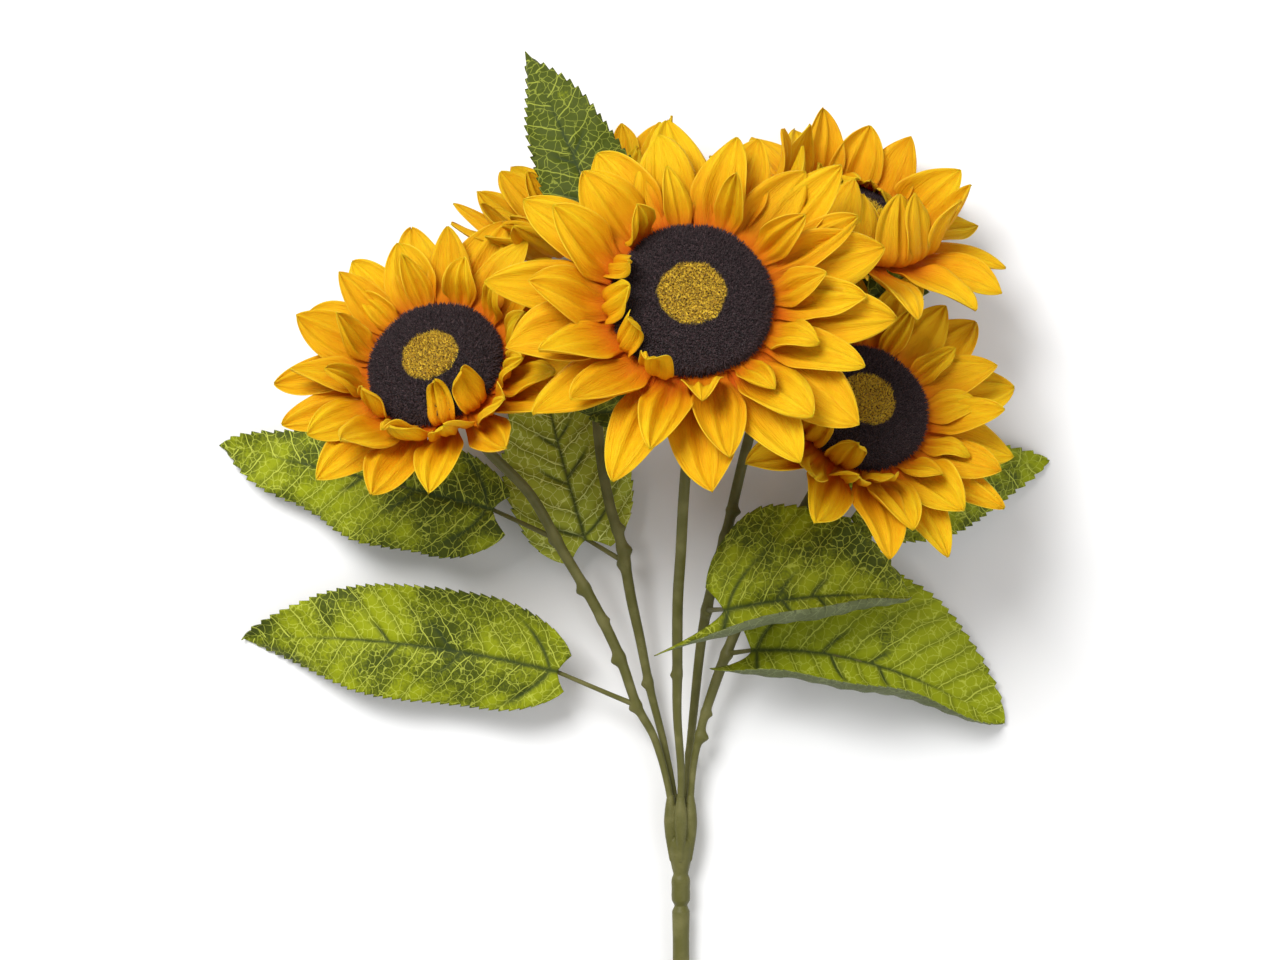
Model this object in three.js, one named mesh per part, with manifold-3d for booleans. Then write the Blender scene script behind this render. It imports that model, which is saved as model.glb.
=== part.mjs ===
// A bush of five cloth sunflowers on moulded stems, laid down on a table.
// Millimetres, +Z up. The stems run along +Y from the cut end of the main stem to the heads,
// and the fronts of the heads look up. The origin is under the middle of the whole bush.
import * as THREE from 'three';
import { mergeVertices } from 'three/addons/utils/BufferGeometryUtils.js';
import Module from 'manifold-3d';

const wasm = await Module();
wasm.setup();

// ---- driving dimensions ----------------------------------------------------------------

const CLEARANCE = 0.35;          // air between pieces that are fitted or glued together
const CLOTH = 0.8;               // thickness of a pressed petal ring
const BLADE = 0.8;               // thickness of a leaf blade

const DISC_RADIUS = 31;          // flocked disc of the large head
const DISC_RISE = 7;             // how far the disc domes up
const DISC_RIM = 3;              // height of the disc's upright rim
const SIDE_HEAD_SCALE = 0.88;    // three side heads against the large one
const YOUNG_HEAD_SCALE = 0.78;   // the half-open head at the back

const HUB_HOLE = 9;              // hole in the middle of a petal ring, round the calyx post
const ROOT_MARGIN = 0.5;         // the outer petals leave their ring this far outside the disc
const ROOT_STEP = 0.8;           // each ring above starts its petals this much nearer the middle
const OUTER_LENGTH = 45;
const OUTER_WIDTH = 20;
const MIDDLE_LENGTH = 38;
const MIDDLE_WIDTH = 18;
const INNER_LENGTH = 22;
const INNER_WIDTH = 15;
const LAYER_TURN = 9;             // degrees from one petal ring to the next
const PETAL_CREASE = 1.1;        // depth of the fold down the middle of a petal

const CALYX_DEPTH = 24;          // from the lowest ring down to the stem
const CALYX_NECK = 3.6;          // radius of the neck that takes the stem
const SEPAL_REACH = 33;

const STEM_RADIUS = 2.1;
const SLEEVE_RING = 4.5;         // radius of the circle on which the five stems enter the collar
const SLEEVE_WALL = 0.7;
const SOCKET_DEPTH = 11;         // how far a stem goes down into the collar
const COLLAR_LENGTH = 32;        // collar from its mouth to the bead
const BEAD_RADIUS = 3.9;
const BEAD_LENGTH = 13.5;
const NOTCH_RADIUS = 2.7;
const MAIN_RADIUS = 3.6;         // main stem
const MAIN_LENGTH = 103;         // main stem below the bead

const PETIOLE_RADIUS = 1.0;
const RIB_SHARE = 0.62;          // how far the moulded rib runs along a leaf

const GREEN_PLASTIC = { color: 0x6f7038, roughness: 0.6, metalness: 0 };
const LEAF_GREEN = { color: 0x6e8a1e, roughness: 0.7, metalness: 0 };
const PETAL_YELLOW = { color: 0xf5b70f, roughness: 0.8, metalness: 0 };
const PETAL_ORANGE = { color: 0xf0a010, roughness: 0.8, metalness: 0 };
const DISC_BROWN = { color: 0x2e2226, roughness: 0.95, metalness: 0 };

// The heads lie clear of each other, so all the places below spread out with the large head.
const PETAL_ROOT = DISC_RADIUS + ROOT_MARGIN;
const DRAWN_REACH = 76.5;        // reach of the large head for which the places below are given
const SPREAD = (PETAL_ROOT + OUTER_LENGTH) / DRAWN_REACH;

// ---- helpers ---------------------------------------------------------------------------

const bush = new THREE.Group();
const V = (x, y, z) => new THREE.Vector3(x, y, z);
const place = (x, y, z) => V(x, y, z).multiplyScalar(SPREAD);
const rad = THREE.MathUtils.degToRad;

function addPiece(name, geometry, finish, parent = bush) {
  const mesh = new THREE.Mesh(geometry, new THREE.MeshStandardMaterial(finish));
  mesh.name = name;
  parent.add(mesh);
  return mesh;
}

function geometryFrom(vertices, triangles) {
  const geometry = new THREE.BufferGeometry();
  const numbers = vertices.flatMap((v) => v.toArray());
  geometry.setAttribute('position', new THREE.Float32BufferAttribute(numbers, 3));
  geometry.setIndex(triangles.flat());
  geometry.computeVertexNormals();
  return geometry;
}

// A closed solid of the given thickness round an open sheet of triangles.
function thicken(points, triangles, thickness) {
  const normals = points.map(() => V(0, 0, 0));
  for (const [a, b, c] of triangles) {
    const face = points[b].clone().sub(points[a]).cross(points[c].clone().sub(points[a]));
    [a, b, c].forEach((corner) => normals[corner].add(face));
  }
  const half = thickness / 2;
  const top = points.map((p, i) => p.clone().addScaledVector(normals[i].normalize(), half));
  const bottom = points.map((p, i) => p.clone().addScaledVector(normals[i], -half));
  const lower = points.length;
  const solid = [];
  const rim = new Map();
  for (const triangle of triangles) {
    const [a, b, c] = triangle;
    solid.push([a, b, c]);
    solid.push([c + lower, b + lower, a + lower]);
    for (const [p, q] of [[a, b], [b, c], [c, a]]) {
      if (!rim.delete(`${q} ${p}`)) {
        rim.set(`${p} ${q}`, [p, q]);
      }
    }
  }
  for (const [p, q] of rim.values()) {
    solid.push([q, p, p + lower]);
    solid.push([q, p + lower, q + lower]);
  }
  return geometryFrom([...top, ...bottom], solid);
}

// A round bar along a smooth path.
function bar(path, radius, sides, steps) {
  const section = new THREE.Shape();
  for (let i = 0; i < sides; i += 1) {
    const angle = (i / sides) * 2 * Math.PI;
    section[i ? 'lineTo' : 'moveTo'](radius * Math.cos(angle), radius * Math.sin(angle));
  }
  section.closePath();
  return new THREE.ExtrudeGeometry(section, { extrudePath: path, steps, bevelEnabled: false });
}

function toSolid(geometry) {
  const plain = geometry.clone();
  plain.deleteAttribute('normal');
  plain.deleteAttribute('uv');
  const merged = mergeVertices(plain.index ? plain : mergeVertices(plain), 1e-4);
  return new wasm.Manifold(new wasm.Mesh({
    numProp: 3,
    vertProperties: new Float32Array(merged.attributes.position.array),
    triVerts: new Uint32Array(merged.index.array),
  }));
}

function fromSolid(solid) {
  const mesh = solid.getMesh();
  const geometry = new THREE.BufferGeometry();
  geometry.setAttribute('position', new THREE.BufferAttribute(mesh.vertProperties, 3));
  geometry.setIndex(new THREE.BufferAttribute(mesh.triVerts, 1));
  geometry.computeVertexNormals();
  return geometry;
}

// ---- flower heads ----------------------------------------------------------------------

// Petals leave the ring flat, bend up over the first third and then run straight.
// lift adds to the bend on one side of the head, in the direction liftAt.
function petalBend(ring, angle) {
  const side = 0.5 + 0.5 * Math.cos(angle - rad(ring.liftAt));
  return rad(ring.rise + ring.lift * side ** 2);
}

function petalPoint(ring, angle, along, across) {
  const bend = petalBend(ring, angle);
  const bendShare = 0.35;
  const slices = 12;
  let out = ring.root;
  let up = ring.level;
  for (let i = 0; i < slices; i += 1) {
    const share = ((i + 0.5) / slices) * along;
    const slope = bend * Math.min(1, share / bendShare);
    out += Math.cos(slope) * ring.length * (along / slices);
    up += Math.sin(slope) * ring.length * (along / slices);
  }
  const sag = ring.crease * (1 - Math.abs(across) * 2) * Math.sin(Math.PI * along);
  const width = ring.width * Math.sin(Math.PI * along ** 0.8) ** 0.5;
  const middle = V(Math.cos(angle), Math.sin(angle), 0).multiplyScalar(out);
  const side = V(-Math.sin(angle), Math.cos(angle), 0).multiplyScalar(width * across);
  return middle.add(side).setZ(up - sag);
}

// One die-cut ring: a flat hub with its petals.
function petalRing(ring) {
  const points = [];
  const triangles = [];
  const rows = [0.3, 0.68];
  const columns = ring.count * 2;
  const pitch = (2 * Math.PI) / columns;
  for (const radius of [ring.hole, ring.root]) {
    for (let i = 0; i < columns; i += 1) {
      points.push(V(radius * Math.cos(i * pitch), radius * Math.sin(i * pitch), ring.level));
    }
  }
  for (let i = 0; i < columns; i += 1) {
    const next = (i + 1) % columns;
    triangles.push([i, i + columns, next + columns]);
    triangles.push([i, next + columns, next]);
  }
  for (let petal = 0; petal < ring.count; petal += 1) {
    const angle = (petal * 2 + 1) * pitch;
    let row = [0, 1, 2].map((i) => columns + ((petal * 2 + i) % columns));
    for (const along of rows) {
      const start = points.length;
      [-0.5, 0, 0.5].forEach((across) => points.push(petalPoint(ring, angle, along, across)));
      const nextRow = [start, start + 1, start + 2];
      for (let i = 0; i < 2; i += 1) {
        triangles.push([row[i], nextRow[i], nextRow[i + 1]]);
        triangles.push([row[i], nextRow[i + 1], row[i + 1]]);
      }
      row = nextRow;
    }
    points.push(petalPoint(ring, angle, 1, 0));
    const tip = points.length - 1;
    triangles.push([row[0], tip, row[1]]);
    triangles.push([row[1], tip, row[2]]);
  }
  return thicken(points, triangles, CLOTH);
}

function discGeometry(radius, rise, rim) {
  const profile = [new THREE.Vector2(0, 0), new THREE.Vector2(radius - 1, 0), new THREE.Vector2(radius, 1)];
  profile.push(new THREE.Vector2(radius, rim));
  for (const share of [0.85, 0.6, 0.3]) {
    profile.push(new THREE.Vector2(radius * share, rim + rise * Math.sqrt(1 - share ** 2)));
  }
  profile.push(new THREE.Vector2(0, rim + rise));
  const lathe = new THREE.LatheGeometry(profile, 16);
  return lathe.rotateX(Math.PI / 2);
}

// A cup with a five-pointed double frill of sepals under the petals.
function calyxGeometry(depth, neck, reach) {
  const profile = [[0, -depth], [neck, -depth], [neck * 1.1, -depth * 0.7], [reach * 0.36, -depth * 0.36],
    [reach, -2.6], [reach * 0.97, -1.7], [reach * 0.5, -1], [0, -1]];
  const lathe = new THREE.LatheGeometry(profile.map(([r, h]) => new THREE.Vector2(r, h)), 30);
  const corners = lathe.attributes.position;
  for (let i = 0; i < corners.count; i += 1) {
    const [x, z] = [corners.getX(i), corners.getZ(i)];
    const flange = THREE.MathUtils.smoothstep(Math.hypot(x, z), reach * 0.55, reach * 0.9);
    const points = 1 - 0.3 * flange * (0.5 + 0.5 * Math.cos(10 * Math.atan2(z, x)));
    corners.setX(i, x * points);
    corners.setZ(i, z * points);
  }
  return lathe.rotateX(Math.PI / 2);
}

// at is the middle of the lowest petal ring, facing the way the head looks.
const heads = [
  { at: place(20.5, 69, 128), facing: V(0, 0.35, 0.94), scale: 1, rise: [6, 22, 58], lift: 8,
    liftAt: 200, spin: 4 },
  { at: place(-82.6, 45, 86), facing: V(-0.25, 0.5, 0.83), scale: SIDE_HEAD_SCALE, rise: [8, 24, 55],
    lift: 22, liftAt: 290, spin: 11 },
  { at: place(89.6, 28, 80), facing: V(0.3, 0.45, 0.84), scale: SIDE_HEAD_SCALE, rise: [8, 24, 55], lift: 24,
    liftAt: 200, spin: 0 },
  { at: place(88, 104, 54), facing: V(0.3, 0.8, 0.5), scale: SIDE_HEAD_SCALE, rise: [10, 28, 66], lift: 6,
    liftAt: 90, spin: 7 },
  { at: place(-22, 108, 37.8), facing: V(-0.35, 0.85, 0.39), scale: YOUNG_HEAD_SCALE, rise: [50, 61, 72],
    lift: 0, liftAt: 0, spin: 20 },
];

// Layers are glued up the calyx post, each turned a little from the one below.
heads.forEach((head, index) => {
  const number = index + 1;
  const { scale } = head;
  const group = new THREE.Group();
  const stand = CLEARANCE + CLOTH;
  head.facing.normalize();
  group.position.copy(head.at);
  group.quaternion.setFromUnitVectors(V(0, 0, 1), head.facing);
  bush.add(group);
  const layers = [
    ['outer', 14, OUTER_LENGTH, OUTER_WIDTH],
    ['middle', 14, MIDDLE_LENGTH, MIDDLE_WIDTH],
    ['inner', 12, INNER_LENGTH, INNER_WIDTH],
  ];
  layers.forEach(([layer, count, length, width], tier) => {
    const turn = head.spin + tier * LAYER_TURN;
    const ring = {
      count,
      rise: head.rise[tier],
      hole: HUB_HOLE * scale,
      root: (PETAL_ROOT - ROOT_STEP * tier) * scale,
      length: length * scale,
      width: width * scale,
      level: tier * stand,
      lift: head.lift,
      liftAt: head.liftAt - turn,
      crease: PETAL_CREASE * scale,
    };
    const finish = tier ? PETAL_ORANGE : PETAL_YELLOW;
    addPiece(`${layer}_petals_${number}`, petalRing(ring), finish, group).rotation.z = rad(turn);
  });
  const disc = discGeometry(DISC_RADIUS * scale, DISC_RISE * scale, DISC_RIM * scale);
  addPiece(`disc_${number}`, disc, DISC_BROWN, group).position.z = 2 * stand + CLOTH / 2 + CLEARANCE;
  const calyx = calyxGeometry(CALYX_DEPTH * scale, CALYX_NECK, SEPAL_REACH * scale);
  addPiece(`calyx_${number}`, calyx, GREEN_PLASTIC, group);
});

// ---- stems and collar ------------------------------------------------------------------

// Middle of the collar's mouth, and the gentle slope of the main stem down to the table.
const MOUTH = place(17.5, -138.6, 11.5);
const mainDrop = MAIN_RADIUS - MOUTH.z;
const mainEnd = MOUTH.clone().add(V(0.6, -(COLLAR_LENGTH + BEAD_LENGTH + MAIN_LENGTH), mainDrop));
const downMain = mainEnd.clone().sub(MOUTH).normalize();

function sleeveAt(turn, depth) {
  const out = V(Math.cos(rad(turn)), 0, Math.sin(rad(turn))).multiplyScalar(SLEEVE_RING);
  return MOUTH.clone().add(out).addScaledVector(downMain, depth);
}

// Each stem: the side of the collar it leaves from, then the points it passes on the way up.
const stemRoutes = [
  { head: 0, turn: 90, through: [place(17.7, -126, 18), place(15.9, -100, 25), place(15.9, -82, 31),
    place(15.9, -52, 44), place(17, -30, 60), place(18, -8, 73), place(19.6, 16, 84),
    place(20.4, 42, 92)] },
  { head: 1, turn: 162, through: [place(6.5, -112, 15), place(-1.3, -96.9, 19), place(-8.6, -75.9, 25),
    place(-19.6, -52.7, 32), place(-33, -29.6, 39), place(-46.4, -5.9, 47), place(-65.1, 14.2, 57)] },
  { head: 2, turn: 18, through: [place(23.3, -121, 14), place(27, -104.3, 16), place(31.5, -90, 17),
    place(37.5, -73.8, 17), place(48, -50, 18), place(62, -26, 21), place(75, -3, 31), place(81, 10, 45)] },
  { head: 3, turn: 306, through: [place(21, -124, 6.5), place(23.5, -97.3, 8), place(27, -65.5, 14),
    place(31.6, -42.3, 23), place(37.9, -18.3, 29), place(41, -4.2, 30), place(50, 30, 32),
    place(64, 62, 31)] },
  { head: 4, turn: 234, through: [place(10.3, -114, 10), place(4.3, -89.9, 13), place(0, -68.3, 17),
    place(-3.8, -50.8, 21), place(-8.1, -26.8, 26), place(-12.8, -11.1, 29),
    place(-17, 12.8, 30), place(-18, 36, 28), place(-12, 58, 26)] },
];

const stemPaths = stemRoutes.map(({ head, turn, through }) => {
  const { at, facing, scale } = heads[head];
  const neck = at.clone().addScaledVector(facing, -CALYX_DEPTH * scale - CLEARANCE);
  const points = [sleeveAt(turn, SOCKET_DEPTH), sleeveAt(turn, 0), ...through];
  points.push(neck.clone().addScaledVector(facing, -5), neck);
  return new THREE.CatmullRomCurve3(points, false, 'centripetal');
});

stemPaths.forEach((path, index) => {
  addPiece(`stem_${stemRoutes[index].head + 1}`, bar(path, STEM_RADIUS, 6, 22), GREEN_PLASTIC);
});

// The collar, its bead and the main stem are one moulding with a socket for each stem.
function collarSolid() {
  const mouth = SLEEVE_RING + STEM_RADIUS + CLEARANCE + SLEEVE_WALL;
  const whole = COLLAR_LENGTH + BEAD_LENGTH + MAIN_LENGTH;
  const bead = COLLAR_LENGTH + BEAD_LENGTH;
  const profile = [[0, 0], [mouth - 1, 0], [mouth, 4], [mouth - 0.4, 11], [4.8, 21],
    [3.3, COLLAR_LENGTH - 0.6],
    [BEAD_RADIUS, COLLAR_LENGTH + 0.8], [BEAD_RADIUS, bead - 1.4], [NOTCH_RADIUS, bead],
    [MAIN_RADIUS, bead + 2], [MAIN_RADIUS, whole], [0, whole]];
  const lathe = new THREE.LatheGeometry(profile.map(([r, d]) => new THREE.Vector2(r, -d)).reverse(), 15);
  const stance = new THREE.Matrix4().makeRotationFromQuaternion(
    new THREE.Quaternion().setFromUnitVectors(V(0, -1, 0), downMain),
  ).setPosition(MOUTH);
  let solid = toSolid(lathe.applyMatrix4(stance));
  for (const { turn } of stemRoutes) {
    const bore = new THREE.LineCurve3(sleeveAt(turn, SOCKET_DEPTH + CLEARANCE), sleeveAt(turn, -2));
    solid = solid.subtract(toSolid(bar(bore, STEM_RADIUS + CLEARANCE + 0.1, 9, 1)));
  }
  return fromSolid(solid);
}

addPiece('collar_and_main_stem', collarSolid(), GREEN_PLASTIC);

// ---- leaves ----------------------------------------------------------------------------

// Each leaf runs from base through bend to tip. left and right are its two halves, seen from
// above with the tip ahead: width, turn (how far the half curls up, in degrees), and lobe (how
// far it reaches back past the base). stem and from say where its petiole leaves a stem.
const leaves = [
  { base: place(-61, -13, 33), bend: place(-118, 2, 36), tip: place(-183, 15, 1), roll: 0, stem: 1,
    from: 0.62, left: { width: 31, turn: -22, lobe: 8 }, right: { width: 25, turn: -10, lobe: 6 } },
  { base: place(-33.4, -82.6, 25), bend: place(-105, -64, 36), tip: place(-172, -69, 1), roll: 0, stem: 1,
    from: 0.3, left: { width: 28, turn: -25, lobe: 5 }, right: { width: 30, turn: 18, lobe: 4 } },
  { base: place(-23, -27, 19), bend: place(-36, 14, 22), tip: place(-45, 58, 6), roll: 0, stem: 4,
    from: 0.47, left: { width: 30, turn: 14, lobe: 8 }, right: { width: 30, turn: -12, lobe: 6 } },
  { base: place(-10, 88, 99), bend: place(-24, 127, 103), tip: place(-47.4, 177, 72), roll: 0, stem: 0,
    from: 0.8, left: { width: 21, turn: -12, lobe: 5 }, right: { width: 25, turn: -12, lobe: 5 } },
  { base: place(2, 32, 80), bend: place(-18, 46, 84), tip: place(-42, 66, 76), roll: 0, stem: 0, from: 0.72,
    left: { width: 21, turn: -10, lobe: 5 }, right: { width: 19, turn: -10, lobe: 5 } },
  { base: place(93, -8, 35), bend: place(130, -2, 36), tip: place(177, 9, 1), roll: 0, stem: 2, from: 0.765,
    left: { width: 24, turn: -10, lobe: 6 }, right: { width: 25, turn: -14, lobe: 6 } },
  { base: place(34, -55, 49), bend: place(71, -46, 60), tip: place(114, -49, 40), roll: 0, stem: 3,
    from: 0.4, left: { width: 45, turn: -28, lobe: 6 }, right: { width: 20, turn: 100, lobe: 34 } },
  { base: place(46, -73, 27), bend: place(97, -68, 38), tip: place(157.5, -106, 2), roll: 0, stem: 2,
    from: 0.45, left: { width: 46, turn: -16, lobe: 4 }, right: { width: 22, turn: 90, lobe: 16 } },
  { base: place(78, 67, 18), bend: place(104, 80, 22), tip: place(131, 94, 8), roll: 0, stem: 3, from: 0.84,
    left: { width: 17, turn: -10, lobe: 4 }, right: { width: 17, turn: -10, lobe: 4 } },
];

// Share of a half's full width at each point along the leaf: broad near the base, long in the tip.
function leafOutline(along) {
  return 2.04 * along ** 0.42 * (1 - along) ** 0.92;
}

function leafFrame(leaf, along) {
  const spine = new THREE.QuadraticBezierCurve3(leaf.base, leaf.bend, leaf.tip);
  const ahead = spine.getTangent(along);
  const side = V(0, 0, 1).cross(ahead).normalize().applyAxisAngle(ahead, rad(leaf.roll));
  return { middle: spine.getPoint(along), ahead, side, up: ahead.clone().cross(side) };
}

function leafPoint(leaf, along, across) {
  const { middle, ahead, side, up } = leafFrame(leaf, along);
  const half = across > 0 ? leaf.left : leaf.right;
  const turn = rad(half.turn) || 0.001;
  const reach = half.width * leafOutline(along);
  const sweep = turn * Math.abs(across);
  const back = half.lobe * (1 - along) ** 3 * Math.abs(across) ** 1.5;
  return middle.addScaledVector(side, Math.sign(across) * (reach / turn) * Math.sin(sweep))
    .addScaledVector(up, (reach / turn) * (1 - Math.cos(sweep)))
    .addScaledVector(ahead, -back);
}

function leafBlade(leaf) {
  const rows = [0.015, 0.07, 0.2, 0.36, 0.54, 0.72, 0.88];
  const columns = [-1, -0.5, 0, 0.5, 1];
  const points = rows.flatMap((along) => columns.map((across) => leafPoint(leaf, along, across)));
  const triangles = [];
  const wide = columns.length;
  for (let row = 0; row + 1 < rows.length; row += 1) {
    for (let column = 0; column + 1 < wide; column += 1) {
      const corner = row * wide + column;
      triangles.push([corner, corner + wide + 1, corner + 1]);
      triangles.push([corner, corner + wide, corner + wide + 1]);
    }
  }
  points.push(leafPoint(leaf, 1, 0));
  const last = (rows.length - 1) * wide;
  for (let column = 0; column + 1 < wide; column += 1) {
    triangles.push([last + column, points.length - 1, last + column + 1]);
  }
  return thicken(points, triangles, BLADE);
}

// The petiole leaves its stem and carries on under the blade as its moulded rib.
function petioleBar(leaf) {
  const joint = stemPaths[leaf.stem].getPoint(leaf.from);
  const below = BLADE / 2 + CLEARANCE + PETIOLE_RADIUS;
  const rib = [0.02, 0.2, 0.4, RIB_SHARE].map((along) => {
    const { middle, up } = leafFrame(leaf, along);
    return middle.addScaledVector(up, -below - 0.5 - 1.4 * (1 - along) ** 6);
  });
  const along = stemPaths[leaf.stem].getTangent(leaf.from);
  const away = rib[0].clone().sub(joint).projectOnPlane(along).normalize();
  const start = joint.addScaledVector(away, STEM_RADIUS + PETIOLE_RADIUS + CLEARANCE);
  const path = new THREE.CatmullRomCurve3([start, ...rib], false, 'centripetal');
  return bar(path, PETIOLE_RADIUS, 5, 9);
}

leaves.forEach((leaf, index) => {
  addPiece(`leaf_${index + 1}`, leafBlade(leaf), LEAF_GREEN);
  addPiece(`petiole_${index + 1}`, petioleBar(leaf), GREEN_PLASTIC);
});

// ---- origin: under the middle of the bush ------------------------------------------------

bush.updateMatrixWorld(true);
const size = new THREE.Box3().setFromObject(bush, true);
const middle = size.getCenter(V(0, 0, 0));
bush.position.set(-middle.x, -middle.y, -size.min.z);

export default bush;
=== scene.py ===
import math

import bpy
import numpy as np
from bpy.props import FloatProperty, FloatVectorProperty, IntProperty, PointerProperty
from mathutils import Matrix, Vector


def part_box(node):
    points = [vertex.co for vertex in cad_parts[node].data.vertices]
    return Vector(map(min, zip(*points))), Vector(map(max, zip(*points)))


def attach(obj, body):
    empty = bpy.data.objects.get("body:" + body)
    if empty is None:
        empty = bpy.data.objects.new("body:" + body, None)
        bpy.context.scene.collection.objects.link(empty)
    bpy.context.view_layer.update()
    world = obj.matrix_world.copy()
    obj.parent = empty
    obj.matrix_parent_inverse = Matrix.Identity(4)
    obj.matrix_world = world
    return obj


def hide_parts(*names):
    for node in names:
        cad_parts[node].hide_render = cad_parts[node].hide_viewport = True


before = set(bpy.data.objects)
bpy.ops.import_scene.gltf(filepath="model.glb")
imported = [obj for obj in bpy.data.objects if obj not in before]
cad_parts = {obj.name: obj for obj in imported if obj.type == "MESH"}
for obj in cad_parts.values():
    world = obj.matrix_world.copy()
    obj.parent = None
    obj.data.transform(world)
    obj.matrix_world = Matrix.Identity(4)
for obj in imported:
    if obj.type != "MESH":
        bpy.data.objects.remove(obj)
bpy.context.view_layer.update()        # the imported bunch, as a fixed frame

bl_info = {
    "name": "Cloth sunflower bunch",
    "version": (1, 0, 0),
    "blender": (4, 5, 0),
    "location": "3D View > Sidebar > Sunflowers",
    "description": "Dresses the packed frame of a cloth sunflower bunch",
    "category": "Object",
}

MM = 0.001
BODY = "root"
VIEW_HALF_WIDTH = 278.7          # half the width that the camera sees of the table, in millimetres

# The plan below is in millimetres from a point between the heads. The low corner of the collar and
# main stem in that plan ties it to the frame.
PLAN_CORNER = Vector((9.908, -287.080, 0.095))
PLAN_ORIGIN = np.array(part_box("collar_and_main_stem")[0] / MM - PLAN_CORNER)

# ---- plan of the bunch, in millimetres ------------------------------------------------------

DISC_RADIUS = 31.0
DISC_RISE = 7.0
DISC_RIM = 3.0
ROOT_MARGIN = 0.5
PETAL_ROOT = DISC_RADIUS + ROOT_MARGIN
ROOT_STEP = 0.8
HUB_HOLE = 9.0
LEVEL_STEP = 1.15
LAYER_TURN = 9.0
CALYX_DEPTH = 24.0
SEPAL_REACH = 33.0

# One row for each head: middle of the lowest petal ring, the way it faces, its scale, how steeply
# its three petal rings rise, how much more they rise on one side and on which, and its turn.
# gather is how much further the middle and inner rings close over the disc on that same side.
HEADS = (
    dict(at=(20.5, 69, 128), facing=(0, 0.35, 0.94), scale=1.0, rise=(6, 22, 40), lift=8,
         lift_at=200, spin=4, gather=(8, 88)),
    dict(at=(-82.6, 45, 86), facing=(-0.25, 0.5, 0.83), scale=0.88, rise=(8, 24, 40), lift=22,
         lift_at=290, spin=11, gather=(16, 62)),
    dict(at=(89.6, 28, 80), facing=(0.3, 0.45, 0.84), scale=0.88, rise=(8, 24, 40), lift=24,
         lift_at=200, spin=0, gather=(12, 52)),
    dict(at=(88, 104, 54), facing=(0.3, 0.8, 0.5), scale=0.88, rise=(10, 62, 146), lift=6,
         lift_at=250, spin=7, gather=(72, 0)),
    dict(at=(-22, 108, 37.8), facing=(-0.35, 0.85, 0.39), scale=0.78, rise=(50, 61, 72), lift=0,
         lift_at=0, spin=20, gather=(0, 0)),
)

MOUTH = np.array((17.5, -138.6, 11.5))
MAIN_RADIUS = 3.6
COLLAR_LENGTH = 32.0
BEAD_LENGTH = 13.5
MAIN_LENGTH = 103.0
SLEEVE_RING = 4.5
SOCKET_DEPTH = 11.0

# Where each stem leaves the collar, in degrees, and the points that it passes on the way up.
ROUTES = (
    (90, ((17.7, -126, 18), (15.9, -100, 25), (15.9, -82, 31), (15.9, -52, 44), (17, -30, 60),
          (18, -8, 73), (19.6, 16, 84), (20.4, 42, 92))),
    (162, ((6.5, -112, 15), (-1.3, -96.9, 19), (-8.6, -75.9, 25), (-19.6, -52.7, 32),
           (-33, -29.6, 39), (-46.4, -5.9, 47), (-65.1, 14.2, 57))),
    (18, ((23.3, -121, 14), (27, -104.3, 16), (31.5, -90, 17), (37.5, -73.8, 17), (48, -50, 18),
          (62, -26, 21), (75, -3, 31), (81, 10, 45))),
    (306, ((21, -124, 6.5), (23.5, -97.3, 8), (27, -65.5, 14), (31.6, -42.3, 23),
           (37.9, -18.3, 29), (41, -4.2, 30), (50, 30, 32), (64, 62, 31))),
    (234, ((10.3, -114, 10), (4.3, -89.9, 13), (0, -68.3, 17), (-3.8, -50.8, 21),
           (-8.1, -26.8, 26), (-12.8, -11.1, 29), (-17, 12.8, 30), (-18, 36, 28), (-12, 58, 26))),
)

# One row for each leaf: base, bend and tip of its midrib, the stem that carries it and where, and
# its two halves, left then right seen with the tip ahead: width, curl in degrees and back lobe.
# tone is how bright its print is, from 0 to 1 for bright; above 1 it paints in light shining
# through the cloth, palest at 2, and taper is how soon it narrows towards the tip.
LEAVES = (
    dict(base=(-61, -13, 33), bend=(-118, 2, 36), tip=(-183, 15, 1), stem=1, start=0.62,
         tone=0.5, taper=0.86,
         halves=((31, -22, 8), (25, -10, 6))),
    dict(base=(-33.4, -82.6, 25), bend=(-105, -64, 36), tip=(-172, -69, 1), stem=1, start=0.3,
         tone=0.6, taper=0.8,
         halves=((28, -25, 5), (30, 18, 4))),
    # tone 2.0: painted light shining through this leaf
    dict(base=(-23, -27, 19), bend=(-36, 14, 22), tip=(-45, 58, 6), stem=4, start=0.47,
         tone=2.0, taper=0.9,
         halves=((30, 14, 8), (30, -12, 6))),
    dict(base=(-10, 88, 99), bend=(-24, 127, 103), tip=(-47.4, 177, 72), stem=0, start=0.8,
         tone=0.1, taper=0.92,
         halves=((21, -12, 5), (25, -12, 5))),
    dict(base=(2, 32, 80), bend=(-18, 46, 84), tip=(-42, 66, 76), stem=0, start=0.72,
         tone=0.0, taper=0.92,
         halves=((21, -10, 5), (19, -10, 5))),
    dict(base=(93, -8, 35), bend=(130, -2, 36), tip=(177, 9, 1), stem=2, start=0.765,
         tone=0.6, taper=0.85,
         halves=((24, -10, 6), (25, -14, 6))),
    dict(base=(34, -55, 49), bend=(71, -46, 60), tip=(114, -49, 40), stem=3, start=0.4,
         tone=0.55, taper=0.72,
         halves=((45, -28, 6), (25, 165, 34))),
    dict(base=(46, -73, 27), bend=(97, -68, 38), tip=(157.5, -106, 2), stem=2, start=0.45,
         tone=0.95, taper=0.76,
         halves=((46, -16, 4), (30, 140, 18))),
    dict(base=(78, 67, 18), bend=(104, 80, 22), tip=(131, 94, 8), stem=3, start=0.84,
         tone=0.1, taper=0.92,
         halves=((17, -10, 4), (17, -10, 4))),
)


# ---- settings -------------------------------------------------------------------------------

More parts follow.
